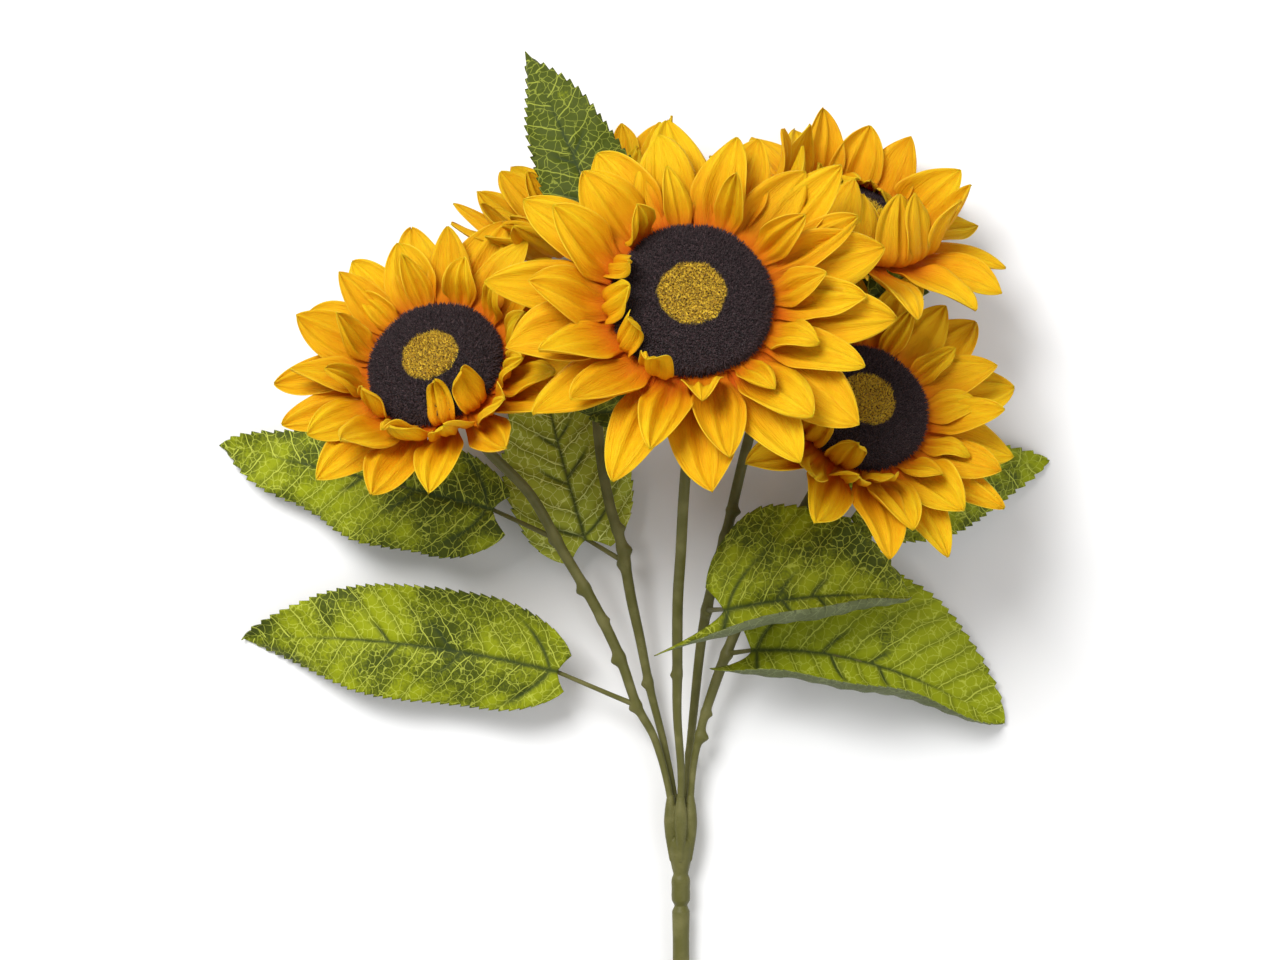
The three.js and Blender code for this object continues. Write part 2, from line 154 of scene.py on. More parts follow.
def length(name, description, default):
    """A size in metres whose default is given in millimetres."""
    return FloatProperty(name=name, description=description, default=default * MM, unit="LENGTH")


def colour(name, description, default):
    return FloatVectorProperty(name=name, description=description, default=default, subtype="COLOR",
                               size=3, min=0.0, max=1.0)


class PetalSettings(bpy.types.PropertyGroup):
    outer_length: length("Outer length", "Length of an outer petal from its ring", 50)
    outer_width: length("Outer width", "Widest part of an outer petal", 29)
    middle_length: length("Middle length", "Length of a middle petal", 43)
    middle_width: length("Middle width", "Widest part of a middle petal", 26)
    inner_length: length("Inner length", "Length of an inner petal", 31)
    inner_width: length("Inner width", "Widest part of an inner petal", 17)
    thickness: length("Cloth", "Thickness of the pressed cloth", 0.32)
    tip_colour: colour("Tip", "Colour of the cloth towards the tip", (0.76, 0.485, 0.008))
    body_colour: colour("Body", "Colour of most of the petal", (0.69, 0.345, 0.003))
    root_colour: colour("Root", "Colour dyed in at the root", (0.56, 0.085, 0.002))
    edge_colour: colour("Cut edge", "Pale cut edge of the cloth", (0.84, 0.60, 0.05))


class DiscSettings(bpy.types.PropertyGroup):
    pile_count: IntProperty(name="Pile", description="Fibres of flock on the large disc",
                            default=22000, min=100)
    pile_length: length("Pile length", "Length of a flock fibre", 2.3)
    centre_share: FloatProperty(name="Centre", description="Share of the radius that is mustard",
                                default=0.43, min=0.1, max=0.9, subtype="FACTOR")
    flock_colour: colour("Flock", "Dark brown flock", (0.030, 0.017, 0.020))
    centre_colour: colour("Centre", "Mustard flock in the middle", (0.86, 0.58, 0.045))
    speck_colour: colour("Specks", "Dark specks between the mustard fibres", (0.12, 0.055, 0.008))


class LeafSettings(bpy.types.PropertyGroup):
    thickness: length("Cloth", "Thickness of the printed cloth", 0.45)
    tooth: length("Tooth", "Depth of a tooth on the edge", 1.6)
    tooth_pitch: length("Tooth pitch", "Distance from tooth to tooth", 4.2)
    vein_pitch: length("Vein pitch", "Distance between side veins", 11)
    rib_radius: length("Rib", "Radius of the moulded rib", 1.0)
    bright_colour: colour("Bright", "Bright yellow green of the print", (0.270, 0.312, 0.004))
    deep_colour: colour("Deep", "Deep green of the print", (0.056, 0.074, 0.004))
    vein_colour: colour("Veins", "Pale printed veins", (0.52, 0.57, 0.075))
    shade_colour: colour("Shade", "Dark shade along the ribs", (0.028, 0.045, 0.010))
    under_colour: colour("Underside", "Grey green back of the cloth", (0.135, 0.155, 0.072))


class StemSettings(bpy.types.PropertyGroup):
    radius: length("Radius", "Radius of a branch stem", 2.25)
    plastic_colour: colour("Plastic", "Olive moulded plastic", (0.104, 0.100, 0.022))
    worn_colour: colour("Worn", "Paler bloom on the plastic", (0.158, 0.148, 0.047))
    calyx_colour: colour("Calyx", "Green of the calyx", (0.085, 0.120, 0.018))


class StageSettings(bpy.types.PropertyGroup):
    camera_height: length("Camera height", "Height of the lens over the table", 1400)
    floor_colour: colour("Floor", "Pale floor", (0.9, 0.9, 0.9))
    key_power: FloatProperty(name="Key", description="Power of the large soft light",
                             default=33.0, unit="POWER")
    fill_power: FloatProperty(name="Fill", description="Power of the fill light",
                              default=9.0, unit="POWER")
    sky: FloatProperty(name="Sky", description="Brightness of the white room", default=0.42)


# ---- mesh helpers ---------------------------------------------------------------------------

def unit(vectors):
    size = np.linalg.norm(vectors, axis=-1, keepdims=True)
    return vectors / np.maximum(size, 1e-9)


def turn_to(facing):
    """Rows are the head's own x, y and z directions: the shortest turn of +Z to facing."""
    turn = Vector((0, 0, 1)).rotation_difference(Vector(facing)).to_matrix()
    return np.array(turn).T


def smooth(low, high, value):
    share = np.clip((value - low) / (high - low), 0, 1)
    return share * share * (3 - 2 * share)


def mesh_from_quads(name, points, quads, marks=(), uv=None):
    """A mesh in metres from millimetre points. marks are named numbers at each point."""
    mesh = bpy.data.meshes.new(name)
    mesh.vertices.add(len(points))
    mesh.vertices.foreach_set("co", (np.asarray(points) * MM).ravel())
    mesh.loops.add(quads.size)
    mesh.loops.foreach_set("vertex_index", quads.ravel())
    mesh.polygons.add(len(quads))
    mesh.polygons.foreach_set("loop_start", np.arange(0, quads.size, 4))
    mesh.update(calc_edges=True)
    for label, values in dict(marks).items():
        mesh.attributes.new(label, "FLOAT", "POINT").data.foreach_set("value", values)
    if uv is not None:
        layer = mesh.uv_layers.new(name="UVMap")
        layer.data.foreach_set("uv", uv[quads.ravel()].ravel())
    mesh.polygons.foreach_set("use_smooth", np.ones(len(quads), dtype=bool))
    mesh.update()
    return mesh


def cloth_mesh(name, points, quads, thickness, marks, uv):
    """A closed sheet of cloth of even thickness round the middle surface of quads."""
    corners = points[quads]
    face = np.cross(corners[:, 2] - corners[:, 0], corners[:, 3] - corners[:, 1])
    normals = np.zeros_like(points)
    for k in range(4):
        np.add.at(normals, quads[:, k], face)
    offset = unit(normals) * thickness / 2
    count = len(points)
    edges = np.concatenate([quads[:, [k, (k + 1) % 4]] for k in range(4)])
    keys = {(a, b) for a, b in edges.tolist()}
    rim = np.array([(b, a, a + count, b + count) for a, b in keys if (b, a) not in keys])
    rim = rim[np.lexsort((rim[:, 1], rim[:, 0]))]
    faces = np.concatenate([quads, quads[:, ::-1] + count, rim])
    doubled = {label: np.concatenate([values, values]) for label, values in marks.items()}
    doubled["underside"] = np.repeat([0.0, 1.0], count)
    sheet = np.concatenate([points + offset, points - offset])
    return mesh_from_quads(name, sheet, faces, doubled, np.concatenate([uv, uv]))


def add_object(name, mesh, *materials):
    piece = bpy.data.objects.new(name, mesh)
    bpy.context.collection.objects.link(piece)
    for material in materials:
        mesh.materials.append(material)
    return piece


def join_meshes(name, parts):
    """One mesh of several (points, quads) shells."""
    points = np.concatenate([p for p, _ in parts])
    starts = np.cumsum([0] + [len(p) for p, _ in parts[:-1]])
    quads = np.concatenate([q + start for (_, q), start in zip(parts, starts)])
    return mesh_from_quads(name, points, quads)


def grid_quads(rows, columns, wrap=False):
    """Quads of a grid whose points are stored row by row."""
    row, column = np.meshgrid(np.arange(rows - 1), np.arange(columns if wrap else columns - 1),
                              indexing="ij")
    after = (column + 1) % columns
    quads = (row * columns + column, row * columns + after,
             (row + 1) * columns + after, (row + 1) * columns + column)
    return np.stack([q.ravel() for q in quads], axis=1)


def capped_quads(rows, sides):
    """Quads of a closed turned shape with an even number of sides: its wall, then its two ends."""
    ends = np.arange(sides)[::-1], np.arange(sides) + (rows - 1) * sides
    caps = [np.array([[end[0], end[k], end[k + 1], end[k + 2]] for k in range(1, sides - 2, 2)])
            for end in ends]
    return np.concatenate([grid_quads(rows, sides, wrap=True), *caps])


def settle(piece, node):
    """Puts a finished piece on the frame in place of its node."""
    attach(piece, BODY)
    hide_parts(node)


def curve_point(points, share):
    """The point at share, from 0 to 1, of a centripetal curve through the given points."""
    points = np.asarray(points, dtype=float)
    place = min(share, 1 - 1e-9) * (len(points) - 1)
    first = int(place)
    ends = [2 * points[0] - points[1], *points, 2 * points[-1] - points[-2]]
    level = ends[first:first + 4]
    steps = [np.linalg.norm(b - a) ** 0.5 for a, b in zip(level, level[1:])]
    knots = np.cumsum([0, *steps])
    t = knots[1] + (place - first) * (knots[2] - knots[1])
    spans = (((0, 1), (1, 2), (2, 3)), ((0, 2), (1, 3)), ((1, 2),))
    for pairs in spans:
        shares = [(t - knots[low]) / (knots[high] - knots[low]) for low, high in pairs]
        level = [a + (b - a) * w for a, b, w in zip(level, level[1:], shares)]
    return level[0]


def smooth_path(points, count):
    return np.array([curve_point(points, share) for share in np.linspace(0, 1, count)])


# ---- material helpers -----------------------------------------------------------------------

class Nodes:
    """Short calls for the nodes of the tree that is being built."""

    def put(self, socket, value):
        """Links another node's output to socket, or gives it a plain value."""
        if isinstance(value, bpy.types.NodeSocket):
            self.tree.links.new(value, socket)
        elif socket.type == "RGBA":
            socket.default_value = (*value, 1.0)
        else:
            socket.default_value = value

    def node(self, kind, output=0, settings=(), **inputs):
        """An output of a new node. An input called i2 is its third one, the rest go by name."""
        made = self.tree.nodes.new(kind)
        for label, value in dict(settings).items():
            setattr(made, label, value)
        for label, value in inputs.items():
            by_number = label[0] == "i" and label[1:].isdigit()
            self.put(made.inputs[int(label[1:]) if by_number else label.replace("_", " ")], value)
        return made.outputs[output]

    def math(self, operation, first, second=0.0, third=0.0):
        return self.node("ShaderNodeMath", 0, {"operation": operation},
                         i0=first, i1=second, i2=third)


class Surface(Nodes):
    """A node material being built: short calls for the nodes that the finishes here need."""

    def __init__(self, name, roughness, sheen=0.0, specular=0.5):
        self.material = bpy.data.materials.new(name)
        self.material.use_nodes = True
        self.tree = self.material.node_tree
        self.shader = self.tree.nodes["Principled BSDF"]
        self.set(Roughness=roughness, Sheen_Weight=sheen, Sheen_Roughness=0.5,
                 Specular_IOR_Level=specular)

    def set(self, **inputs):
        for label, value in inputs.items():
            self.put(self.shader.inputs[label.replace("_", " ")], value)

    def mark(self, label):
        return self.node("ShaderNodeAttribute", "Fac", {"attribute_name": label})

    def place(self, scale=(1, 1, 1), uv=False):
        """Object coordinates in millimetres, or the UV map's, stretched by scale."""
        at = self.node("ShaderNodeTexCoord", "UV" if uv else "Object")
        size = tuple(part if uv else part / MM for part in scale)
        return self.node("ShaderNodeMapping", Vector=at, Scale=size)

    def band(self, value, low, high, start=0.0, end=1.0):
        """start below low, end above high, and a smooth step between."""
        return self.node("ShaderNodeMapRange", "Result", {"interpolation_type": "SMOOTHSTEP"},
                         Value=value, From_Min=low, From_Max=high, To_Min=start, To_Max=end)

    def noise(self, vector, scale, detail=3.0):
        return self.node("ShaderNodeTexNoise", "Fac", Vector=vector, Scale=scale, Detail=detail)

    def pushed(self, vector, scale, amount):
        """vector moved about by noise, so that lines drawn from it wander."""
        drift = self.node("ShaderNodeTexNoise", "Color", Vector=vector, Scale=scale, Detail=2.0)
        drift = self.node("ShaderNodeVectorMath", 0, {"operation": "SCALE"}, Vector=drift,
                          Scale=amount)
        return self.node("ShaderNodeVectorMath", i0=vector, i1=drift)

    def let_through(self, weight, colours, depth):
        """Light goes through the thin cloth, to a depth in millimetres."""
        self.set(Subsurface_Weight=weight, Subsurface_Radius=colours,
                 Subsurface_Scale=depth * MM)

    def mix(self, share, first, second):
        return self.node("ShaderNodeMix", 2, {"data_type": "RGBA"}, i0=share, i6=first, i7=second)

    def finish(self, base, height=None, distance=0.2, strength=1.0, roughness=None):
        """Links colour, and height as a bump of distance millimetres."""
        self.set(Base_Color=base)
        if roughness is not None:
            self.set(Roughness=roughness)
        if height is not None:
            bump = self.node("ShaderNodeBump", Height=height, Distance=distance * MM,
                             Strength=strength)
            self.set(Normal=bump)
        return self.material


# ---- petals ---------------------------------------------------------------------------------

PETAL_ROWS = 30
PETAL_COLUMNS = 20
HUB_ROWS = 3
BEND_SHARE = 0.35
CLOTH_GROUND = 0.4               # least height of the cloth over the table, in millimetres
TABLE_EASE = 0.8
TIP_SHARE = 0.03                 # width left at the very tip, as a share of the petal's width
ROOT_SHARE = 0.52                # width at the root, as a share of the widest part
GATHER_POWER = 1.4               # how sharply the gathering of a ring fades round the head
DEEPER_DYE = (0.62, 0.22, 0.002)
PETAL_SEED = 100

# Each ring of a head: its petals, how far their ends curl in degrees, and how unruly they rise.
RINGS = (("outer", 14, (-26, 10), 4.0), ("middle", 14, (-30, 26), 7.0),
         ("inner", 12, (-75, 12), 14.0))

# What chance does to each petal: turns in degrees, the rest in millimetres or as shares.
TWIST = 15
LEAN = 0.07
CUP = (-0.12, 0.32)
GROWN = (0.90, 1.05)
SPREAD = (0.74, 1.08)
RIDGE = (0.7, 1.5)
WAVE = (0.4, 1.3)
WAVES = (0.9, 1.8)
FOLD = (-0.1, 0.75)
RIDGE_SHIFT = 0.12

# The pressed relief: how many ridges lie across, and the groove along the middle.
BROAD_RIDGES = 2.0
FINE_RIDGES = 4.2
FINE_SHARE = 0.4                 # height of a fine ridge, as a share of a broad one
GROOVE_DEPTH = 1.5               # the same for the groove
GROOVE_WIDTH = 0.15
FOLD_START = 0.35                # how far out a side starts to fold over


def petal_cloth(look):
    """Dyed polyester: orange at the root, gold along the petal, with a pale cut edge."""
    surface = Surface("petal_cloth", roughness=0.6, specular=0.10)
    surface.let_through(0.45, (0.9, 0.55, 0.12), 1.2)
    along = surface.mark("along")
    across = surface.mark("across")
    tone = surface.mark("tone")
    fibres = surface.noise(surface.place((14, 1.6, 1), uv=True), 3.0, 4.0)
    cloud = surface.noise(surface.place(), 0.09, 2.0)
    wander = surface.math("MULTIPLY_ADD", fibres, 0.30, -0.15)
    reach = surface.math("ADD", along, wander)
    gold = surface.mix(surface.band(reach, 0.35, 0.8), look.body_colour,
                       look.tip_colour)
    dyed = surface.mix(surface.band(reach, 0.02, 0.46, 1.0, 0.0), gold, look.root_colour)
    deeper = surface.math("MULTIPLY", surface.band(cloud, 0.45, 0.75), 0.18)
    dyed = surface.mix(surface.math("MULTIPLY_ADD", tone, 0.30, deeper), dyed, DEEPER_DYE)
    streak = surface.math("MULTIPLY", surface.band(fibres, 0.48, 0.72), 0.32)
    dyed = surface.mix(streak, dyed, look.root_colour)
    rim = surface.band(surface.math("ABSOLUTE", across), 0.95, 1.0)
    rim = surface.math("MULTIPLY", rim, surface.band(along, 0.25, 0.5))
    dyed = surface.mix(surface.math("MULTIPLY", rim, 0.3), dyed, look.edge_colour)
    weave = surface.noise(surface.place(), 2.4, 2.0)
    height = surface.math("MULTIPLY_ADD", fibres, 2.4, weave)
    return surface.finish(dyed, height, distance=0.34, strength=0.8)


def above_table(points):
    """Points in the plan with any that would sink into the table eased up to lie on it."""
    height = (points[..., 2] - CLOTH_GROUND) / TABLE_EASE
    eased = CLOTH_GROUND + TABLE_EASE * np.logaddexp(0, height)
    return np.concatenate([points[..., :2], eased[..., None]], axis=-1)


def petal_width(along):
    """Half-width share along a petal: narrow at the root, widest past the middle, a drawn tip."""
    swell = ROOT_SHARE + (1 - ROOT_SHARE) * smooth(0.0, 0.45, along)
    return TIP_SHARE + (1 - TIP_SHARE) * swell * (1 - along ** 3.7) ** 0.87


def petal_chance(ring, angle, draw):
    """How one petal differs from its neighbours. The draws keep this order."""
    near = 0.5 + 0.5 * math.cos(angle - ring["lift_at"])
    rise = ring["rise"] + ring["lift"] * near ** 2 + ring["gather"] * near ** GATHER_POWER
    return dict(
        rise=math.radians(rise + draw.normal(0, ring["unruly"])),
        curl=math.radians(draw.uniform(*ring["curl"])),
        twist=math.radians(draw.normal(0, TWIST)),
        lean=draw.normal(0, LEAN), cup=draw.uniform(*CUP), size=draw.uniform(*GROWN),
        ridge=draw.uniform(*RIDGE), phase=draw.uniform(0, 2 * math.pi),
        wave=draw.uniform(*WAVE), waves=draw.uniform(*WAVES),
        fold=draw.uniform(*FOLD), side=draw.choice((-1.0, 1.0)),
        shift=draw.normal(0, RIDGE_SHIFT), spread=draw.uniform(*SPREAD),
    )


def petal_relief(s, u, width, chance):
    """How far the pressed cloth stands off its bend: cup, ridges, groove, wavy edge and fold."""
    ridge, phase = chance["ridge"], chance["phase"]
    fade = smooth(0.02, 0.3, s)
    bloom = np.sin(math.pi * np.clip(s, 0, 1)) ** 0.6 * fade
    place = u - chance["shift"] * s
    relief = chance["cup"] * width * u ** 2 * fade
    relief += ridge * np.cos((BROAD_RIDGES + 0.8 * s) * math.pi * place + phase) * bloom
    relief += FINE_SHARE * ridge * bloom \
        * np.cos((FINE_RIDGES + s) * math.pi * place + 2 * phase)
    relief -= GROOVE_DEPTH * ridge * np.exp(-(place / GROOVE_WIDTH) ** 2) * fade * (1 - 0.7 * s)
    edge = np.sin(2 * math.pi * chance["waves"] * s + phase * np.sign(u))
    relief += chance["wave"] * np.abs(u) ** 3 * edge * fade
    folded = np.maximum(0, u * chance["side"] - FOLD_START) ** 1.5
    relief += chance["fold"] * width * folded * bloom
    return relief


def petal_points(ring, angle, draw):
    """Middle surface of one petal as a grid, in its head's own directions."""
    chance = petal_chance(ring, angle, draw)
    along = np.linspace(0, 1, PETAL_ROWS)
    across = np.linspace(-1, 1, PETAL_COLUMNS + 1)
    reach = ring["length"] * chance["size"]
    bend = chance["rise"] * np.minimum(1, along / BEND_SHARE)
    slope = bend + chance["curl"] * smooth(0.45, 1.0, along)
    step = reach / (PETAL_ROWS - 1)
    middle_slope = (slope[1:] + slope[:-1]) / 2
    out = ring["root"] + np.concatenate([[0], np.cumsum(np.cos(middle_slope))]) * step
    up = ring["level"] + np.concatenate([[0], np.cumsum(np.sin(middle_slope))]) * step
    half = petal_width(along) * ring["width"] / 2 * chance["spread"]
    ring_half = ring["root"] * math.sin(math.pi / ring["count"])
    half = half + (ring_half - half) * (1 - smooth(0.0, 0.12, along))
    s, u = np.meshgrid(along, across, indexing="ij")
    width = half[:, None] * np.ones_like(u)
    relief = petal_relief(s, u, width, chance)
    turn = chance["twist"] * s ** 1.5
    sideways = u * width * np.cos(turn) - relief * np.sin(turn)
    sideways += chance["lean"] * reach * s ** 1.6
    lifted = u * width * np.sin(turn) + relief * np.cos(turn)
    radial = out[:, None] - lifted * np.sin(slope)[:, None]
    height = up[:, None] + lifted * np.cos(slope)[:, None]
    cos, sin = math.cos(angle), math.sin(angle)
    grid = np.stack([radial * cos - sideways * sin, radial * sin + sideways * cos, height], axis=2)
    return grid, s, u


def ring_parts(ring, draw):
    """Points, quads and marks of a whole die-cut ring: a hub and the petals that grow from it."""
    count = ring["count"]
    columns = count * PETAL_COLUMNS
    pitch = 2 * math.pi / count
    angles = np.arange(columns) / columns * 2 * math.pi
    radii = np.linspace(ring["hole"], ring["root"], HUB_ROWS)
    hub = np.stack([np.outer(radii, np.cos(angles)), np.outer(radii, np.sin(angles)),
                    np.full((HUB_ROWS, columns), ring["level"])], axis=2).reshape(-1, 3)
    points, quads = [hub], [grid_quads(HUB_ROWS, columns, wrap=True)[:, ::-1]]
    along, across, tone = [np.zeros(len(hub))], [np.zeros(len(hub))], [np.zeros(len(hub))]
    outer_row = (HUB_ROWS - 1) * columns
    total = len(hub)
    flat = math.pi * (ring["root"] ** 2 - ring["hole"] ** 2)
    for petal in range(count):
        grid, s, u = petal_points(ring, (petal + 0.5) * pitch, draw)
        shade = draw.uniform(0, 1)
        root = outer_row + (petal * PETAL_COLUMNS + np.arange(PETAL_COLUMNS + 1)) % columns
        rest = total + np.arange((PETAL_ROWS - 1) * (PETAL_COLUMNS + 1))
        index = np.concatenate([root, rest])
        points.append(grid[1:].reshape(-1, 3))
        quads.append(index[grid_quads(PETAL_ROWS, PETAL_COLUMNS + 1)][:, ::-1])
        along.append(s[1:].ravel())
        across.append(u[1:].ravel())
        tone.append(np.full(rest.size, shade))
        total += rest.size
        widths = petal_width(s[:, 0]) * ring["width"]
        flat += float(widths.mean()) * ring["length"]
    marks = {"along": np.concatenate(along), "across": np.concatenate(across),
             "tone": np.concatenate(tone)}
    aside = np.floor(marks["tone"] * 7)
    uv = np.stack([marks["across"] * 0.5 + 0.5 + aside, marks["along"]], axis=1)
    return np.concatenate(points), np.concatenate(quads), marks, uv, flat * MM * MM


class BUNCH_OT_petals(bpy.types.Operator):
    """Three rings of pressed cloth petals on each head"""
    bl_idname = "bunch.petals"
    bl_label = "Petals"

    def execute(self, context):
        look = context.scene.bunch_petals
        cloth = petal_cloth(look)
        for number, head in enumerate(HEADS, 1):
            own = turn_to(head["facing"])
            scale = head["scale"]
            for tier, (layer, count, curl, unruly) in enumerate(RINGS):
                turn = math.radians(head["spin"] + tier * LAYER_TURN)
                ring = dict(
                    count=count, curl=curl, unruly=unruly, rise=head["rise"][tier],
                    lift=head["lift"], lift_at=math.radians(head["lift_at"]) - turn,
                    gather=(0, *head["gather"])[tier], level=LEVEL_STEP * tier,
                    hole=HUB_HOLE * scale, root=(PETAL_ROOT - ROOT_STEP * tier) * scale,
                    length=getattr(look, f"{layer}_length") / MM * scale,
                    width=getattr(look, f"{layer}_width") / MM * scale,
                )
                draw = np.random.default_rng(PETAL_SEED * number + tier)
                points, quads, marks, uv, area = ring_parts(ring, draw)
                cos, sin = math.cos(turn), math.sin(turn)
                spun = points @ np.array([[cos, sin, 0], [-sin, cos, 0], [0, 0, 1]])
                placed = above_table(spun @ own + head["at"]) + PLAN_ORIGIN
                name = f"{layer}_ring_{number}"
                mesh = cloth_mesh(name, placed, quads, look.thickness / MM, marks, uv)
                piece = add_object(name, mesh, cloth)
                settle(piece, f"{layer}_petals_{number}")
        return {"FINISHED"}


# ---- geometry node helpers ------------------------------------------------------------------

class Recipe(Nodes):
    """A geometry node tree being built, with named inputs and one geometry output."""

    def __init__(self, name, inputs):
        self.tree = bpy.data.node_groups.new(name, "GeometryNodeTree")
        face = self.tree.interface
        self.sockets = {}
        face.new_socket("Geometry", in_out="INPUT", socket_type="NodeSocketGeometry")
        for label, kind, default in inputs:
            socket = face.new_socket(label, in_out="INPUT", socket_type=f"NodeSocket{kind}")
            if default is not None:
                socket.default_value = default
            self.sockets[label] = socket.identifier
        face.new_socket("Geometry", in_out="OUTPUT", socket_type="NodeSocketGeometry")
        self.entry = self.tree.nodes.new("NodeGroupInput").outputs
        self.exit = self.tree.nodes.new("NodeGroupOutput").inputs

    def deliver(self, geometry, material):
        """Ends the tree: real geometry, in one material."""
        solid = self.node("GeometryNodeRealizeInstances", Geometry=geometry)
        done = self.node("GeometryNodeSetMaterial", Geometry=solid, Material=material)
        self.tree.links.new(done, self.exit[0])

    def apply(self, piece, name, **values):
        """The mesh that the tree makes of piece with these input values."""
        modifier = piece.modifiers.new("recipe", "NODES")
        modifier.node_group = self.tree
        for label, value in values.items():
            modifier[self.sockets[label]] = value
        graph = bpy.context.evaluated_depsgraph_get()
        mesh = bpy.data.meshes.new_from_object(piece.evaluated_get(graph), depsgraph=graph)
        mesh.name = name
        bpy.data.objects.remove(piece)
        return mesh


def mesh_points(mesh):
    """Point places in millimetres, in the plan."""
    places = np.empty(len(mesh.vertices) * 3, dtype=np.float32)
    mesh.vertices.foreach_get("co", places)
    return places.reshape(-1, 3) / MM - PLAN_ORIGIN


# ---- discs ----------------------------------------------------------------------------------

DISC_SIDES = 72
DISC_ROUNDS = 16                 # rings of points from the rim to the middle
DIMPLE = 0.16                    # depth of the dimple in the middle, as a share of the rise
DIMPLE_REACH = 0.4
RIM_LIGHT = (0.060, 0.034, 0.038)
STRAY_FIBRE = (0.115, 0.075, 0.076)
# painted shade down between the fibres, at their roots
FIBRE_ROOT_SHADE = (0.006, 0.003, 0.003)
FIBRE_TILT = 0.45                # radians either way
FIBRE_SIZES = (0.55, 1.15)
DISC_LIFT = 0.75                 # height of the disc's back over the inner petal ring


def disc_flock(look):
    """Short flock: dark brown with a mustard middle that is speckled with dark fibres, and painted
    shade at the roots of the fibres.
    """
    surface = Surface("disc_flock", roughness=0.95, sheen=0.10, specular=0.15)
    reach = surface.mark("reach")
    root = surface.mark("root")
    ragged = surface.noise(surface.place(), 0.16, 5.0)
    fine = surface.noise(surface.place(), 1.3, 3.0)
    bright = surface.noise(surface.place(), 2.3, 1.0)
    edge = surface.math("MULTIPLY_ADD", ragged, 0.13, surface.math("SUBTRACT", reach, 0.065))
    share = look.centre_share
    inside = surface.band(edge, share - 0.015, share + 0.02, 1.0, 0.0)
    mustard = surface.mix(surface.band(fine, 0.49, 0.60), look.centre_colour,
                          look.speck_colour)
    brown = surface.mix(surface.band(fine, 0.45, 0.75), look.flock_colour, RIM_LIGHT)
    brown = surface.mix(surface.band(bright, 0.53, 0.63), brown, STRAY_FIBRE)
    base = surface.mix(inside, brown, mustard)
    # painted shade: the fibres darken towards their roots
    base = surface.mix(surface.math("MULTIPLY", root, 0.25), base, FIBRE_ROOT_SHADE)
    return surface.finish(base, fine, distance=0.3, strength=0.6)


def pile_recipe(material):
    """Flock: the body of the disc with thin three-sided fibres standing all over it."""
    recipe = Recipe("Flock pile", (("Count", "Int", 22000), ("Length", "Float", 0.0023),
                                   ("Thickness", "Float", 0.00030), ("Seed", "Int", 1)))
    entry = recipe.entry
    area = recipe.node("GeometryNodeAttributeStatistic", "Sum", {"domain": "FACE"},
                       Geometry=entry["Geometry"],
                       Attribute=recipe.node("GeometryNodeInputMeshFaceArea"))
    density = recipe.math("DIVIDE", entry["Count"], area)
    points = recipe.tree.nodes.new("GeometryNodeDistributePointsOnFaces")
    for label, value in (("Mesh", entry["Geometry"]), ("Density", density),
                         ("Seed", entry["Seed"])):
        recipe.tree.links.new(value, points.inputs[label])
    fibre = recipe.node("GeometryNodeMeshCone", 0, {"fill_type": "NGON"}, Vertices=3,
                        Side_Segments=1, Radius_Top=0.0, Radius_Bottom=entry["Thickness"],
                        Depth=entry["Length"])
    tilt = recipe.node("FunctionNodeRandomValue", 0, {"data_type": "FLOAT_VECTOR"},
                       Min=(-FIBRE_TILT, -FIBRE_TILT, 0.0),
                       Max=(FIBRE_TILT, FIBRE_TILT, 6.28), Seed=entry["Seed"])
    lean = recipe.node("FunctionNodeRotateEuler", 0, {"space": "LOCAL"},
                       Rotation=points.outputs["Rotation"], Rotate_By=tilt)
    size = recipe.node("FunctionNodeRandomValue", 1, {"data_type": "FLOAT"},
                       i2=FIBRE_SIZES[0], i3=FIBRE_SIZES[1], Seed=entry["Seed"])
    fibres = recipe.node("GeometryNodeInstanceOnPoints", Points=points.outputs["Points"],
                         Instance=fibre, Rotation=lean, Scale=size)
    whole = recipe.tree.nodes.new("GeometryNodeJoinGeometry")
    recipe.tree.links.new(fibres, whole.inputs[0])
    recipe.tree.links.new(entry["Geometry"], whole.inputs[0])
    recipe.deliver(whole.outputs[0], material)
    return recipe


def disc_body(scale, draw):
    """The padded disc under its flock, in the head's own directions: a closed turned shape."""
    shares = np.concatenate([[0.0, 0.55, 0.95, 1.0, 1.0], np.linspace(0.97, 0.0, DISC_ROUNDS)])
    rises = [0.0, 0.0, 0.0, 0.10, 0.75]
    for share in shares[5:]:
        dimple = DIMPLE * math.exp(-(share / DIMPLE_REACH) ** 2)
        rises.append(1.0 + (DISC_RISE / DISC_RIM) * (math.sqrt(1 - share ** 2) - dimple))
    angles = np.arange(DISC_SIDES) / DISC_SIDES * 2 * math.pi
    shares = np.maximum(shares, 0.004)
    wobble = 1 + 0.012 * np.sin(3 * angles + draw.uniform(0, 6)) + 0.01 * np.sin(7 * angles)
    ring = np.outer(shares * DISC_RADIUS, wobble)
    height = np.outer(np.array(rises) * DISC_RIM, np.ones(DISC_SIDES))
    points = np.stack([ring * np.cos(angles), ring * np.sin(angles), height], axis=2)
    points = points.reshape(-1, 3) * scale
    return points, capped_quads(len(shares), DISC_SIDES)


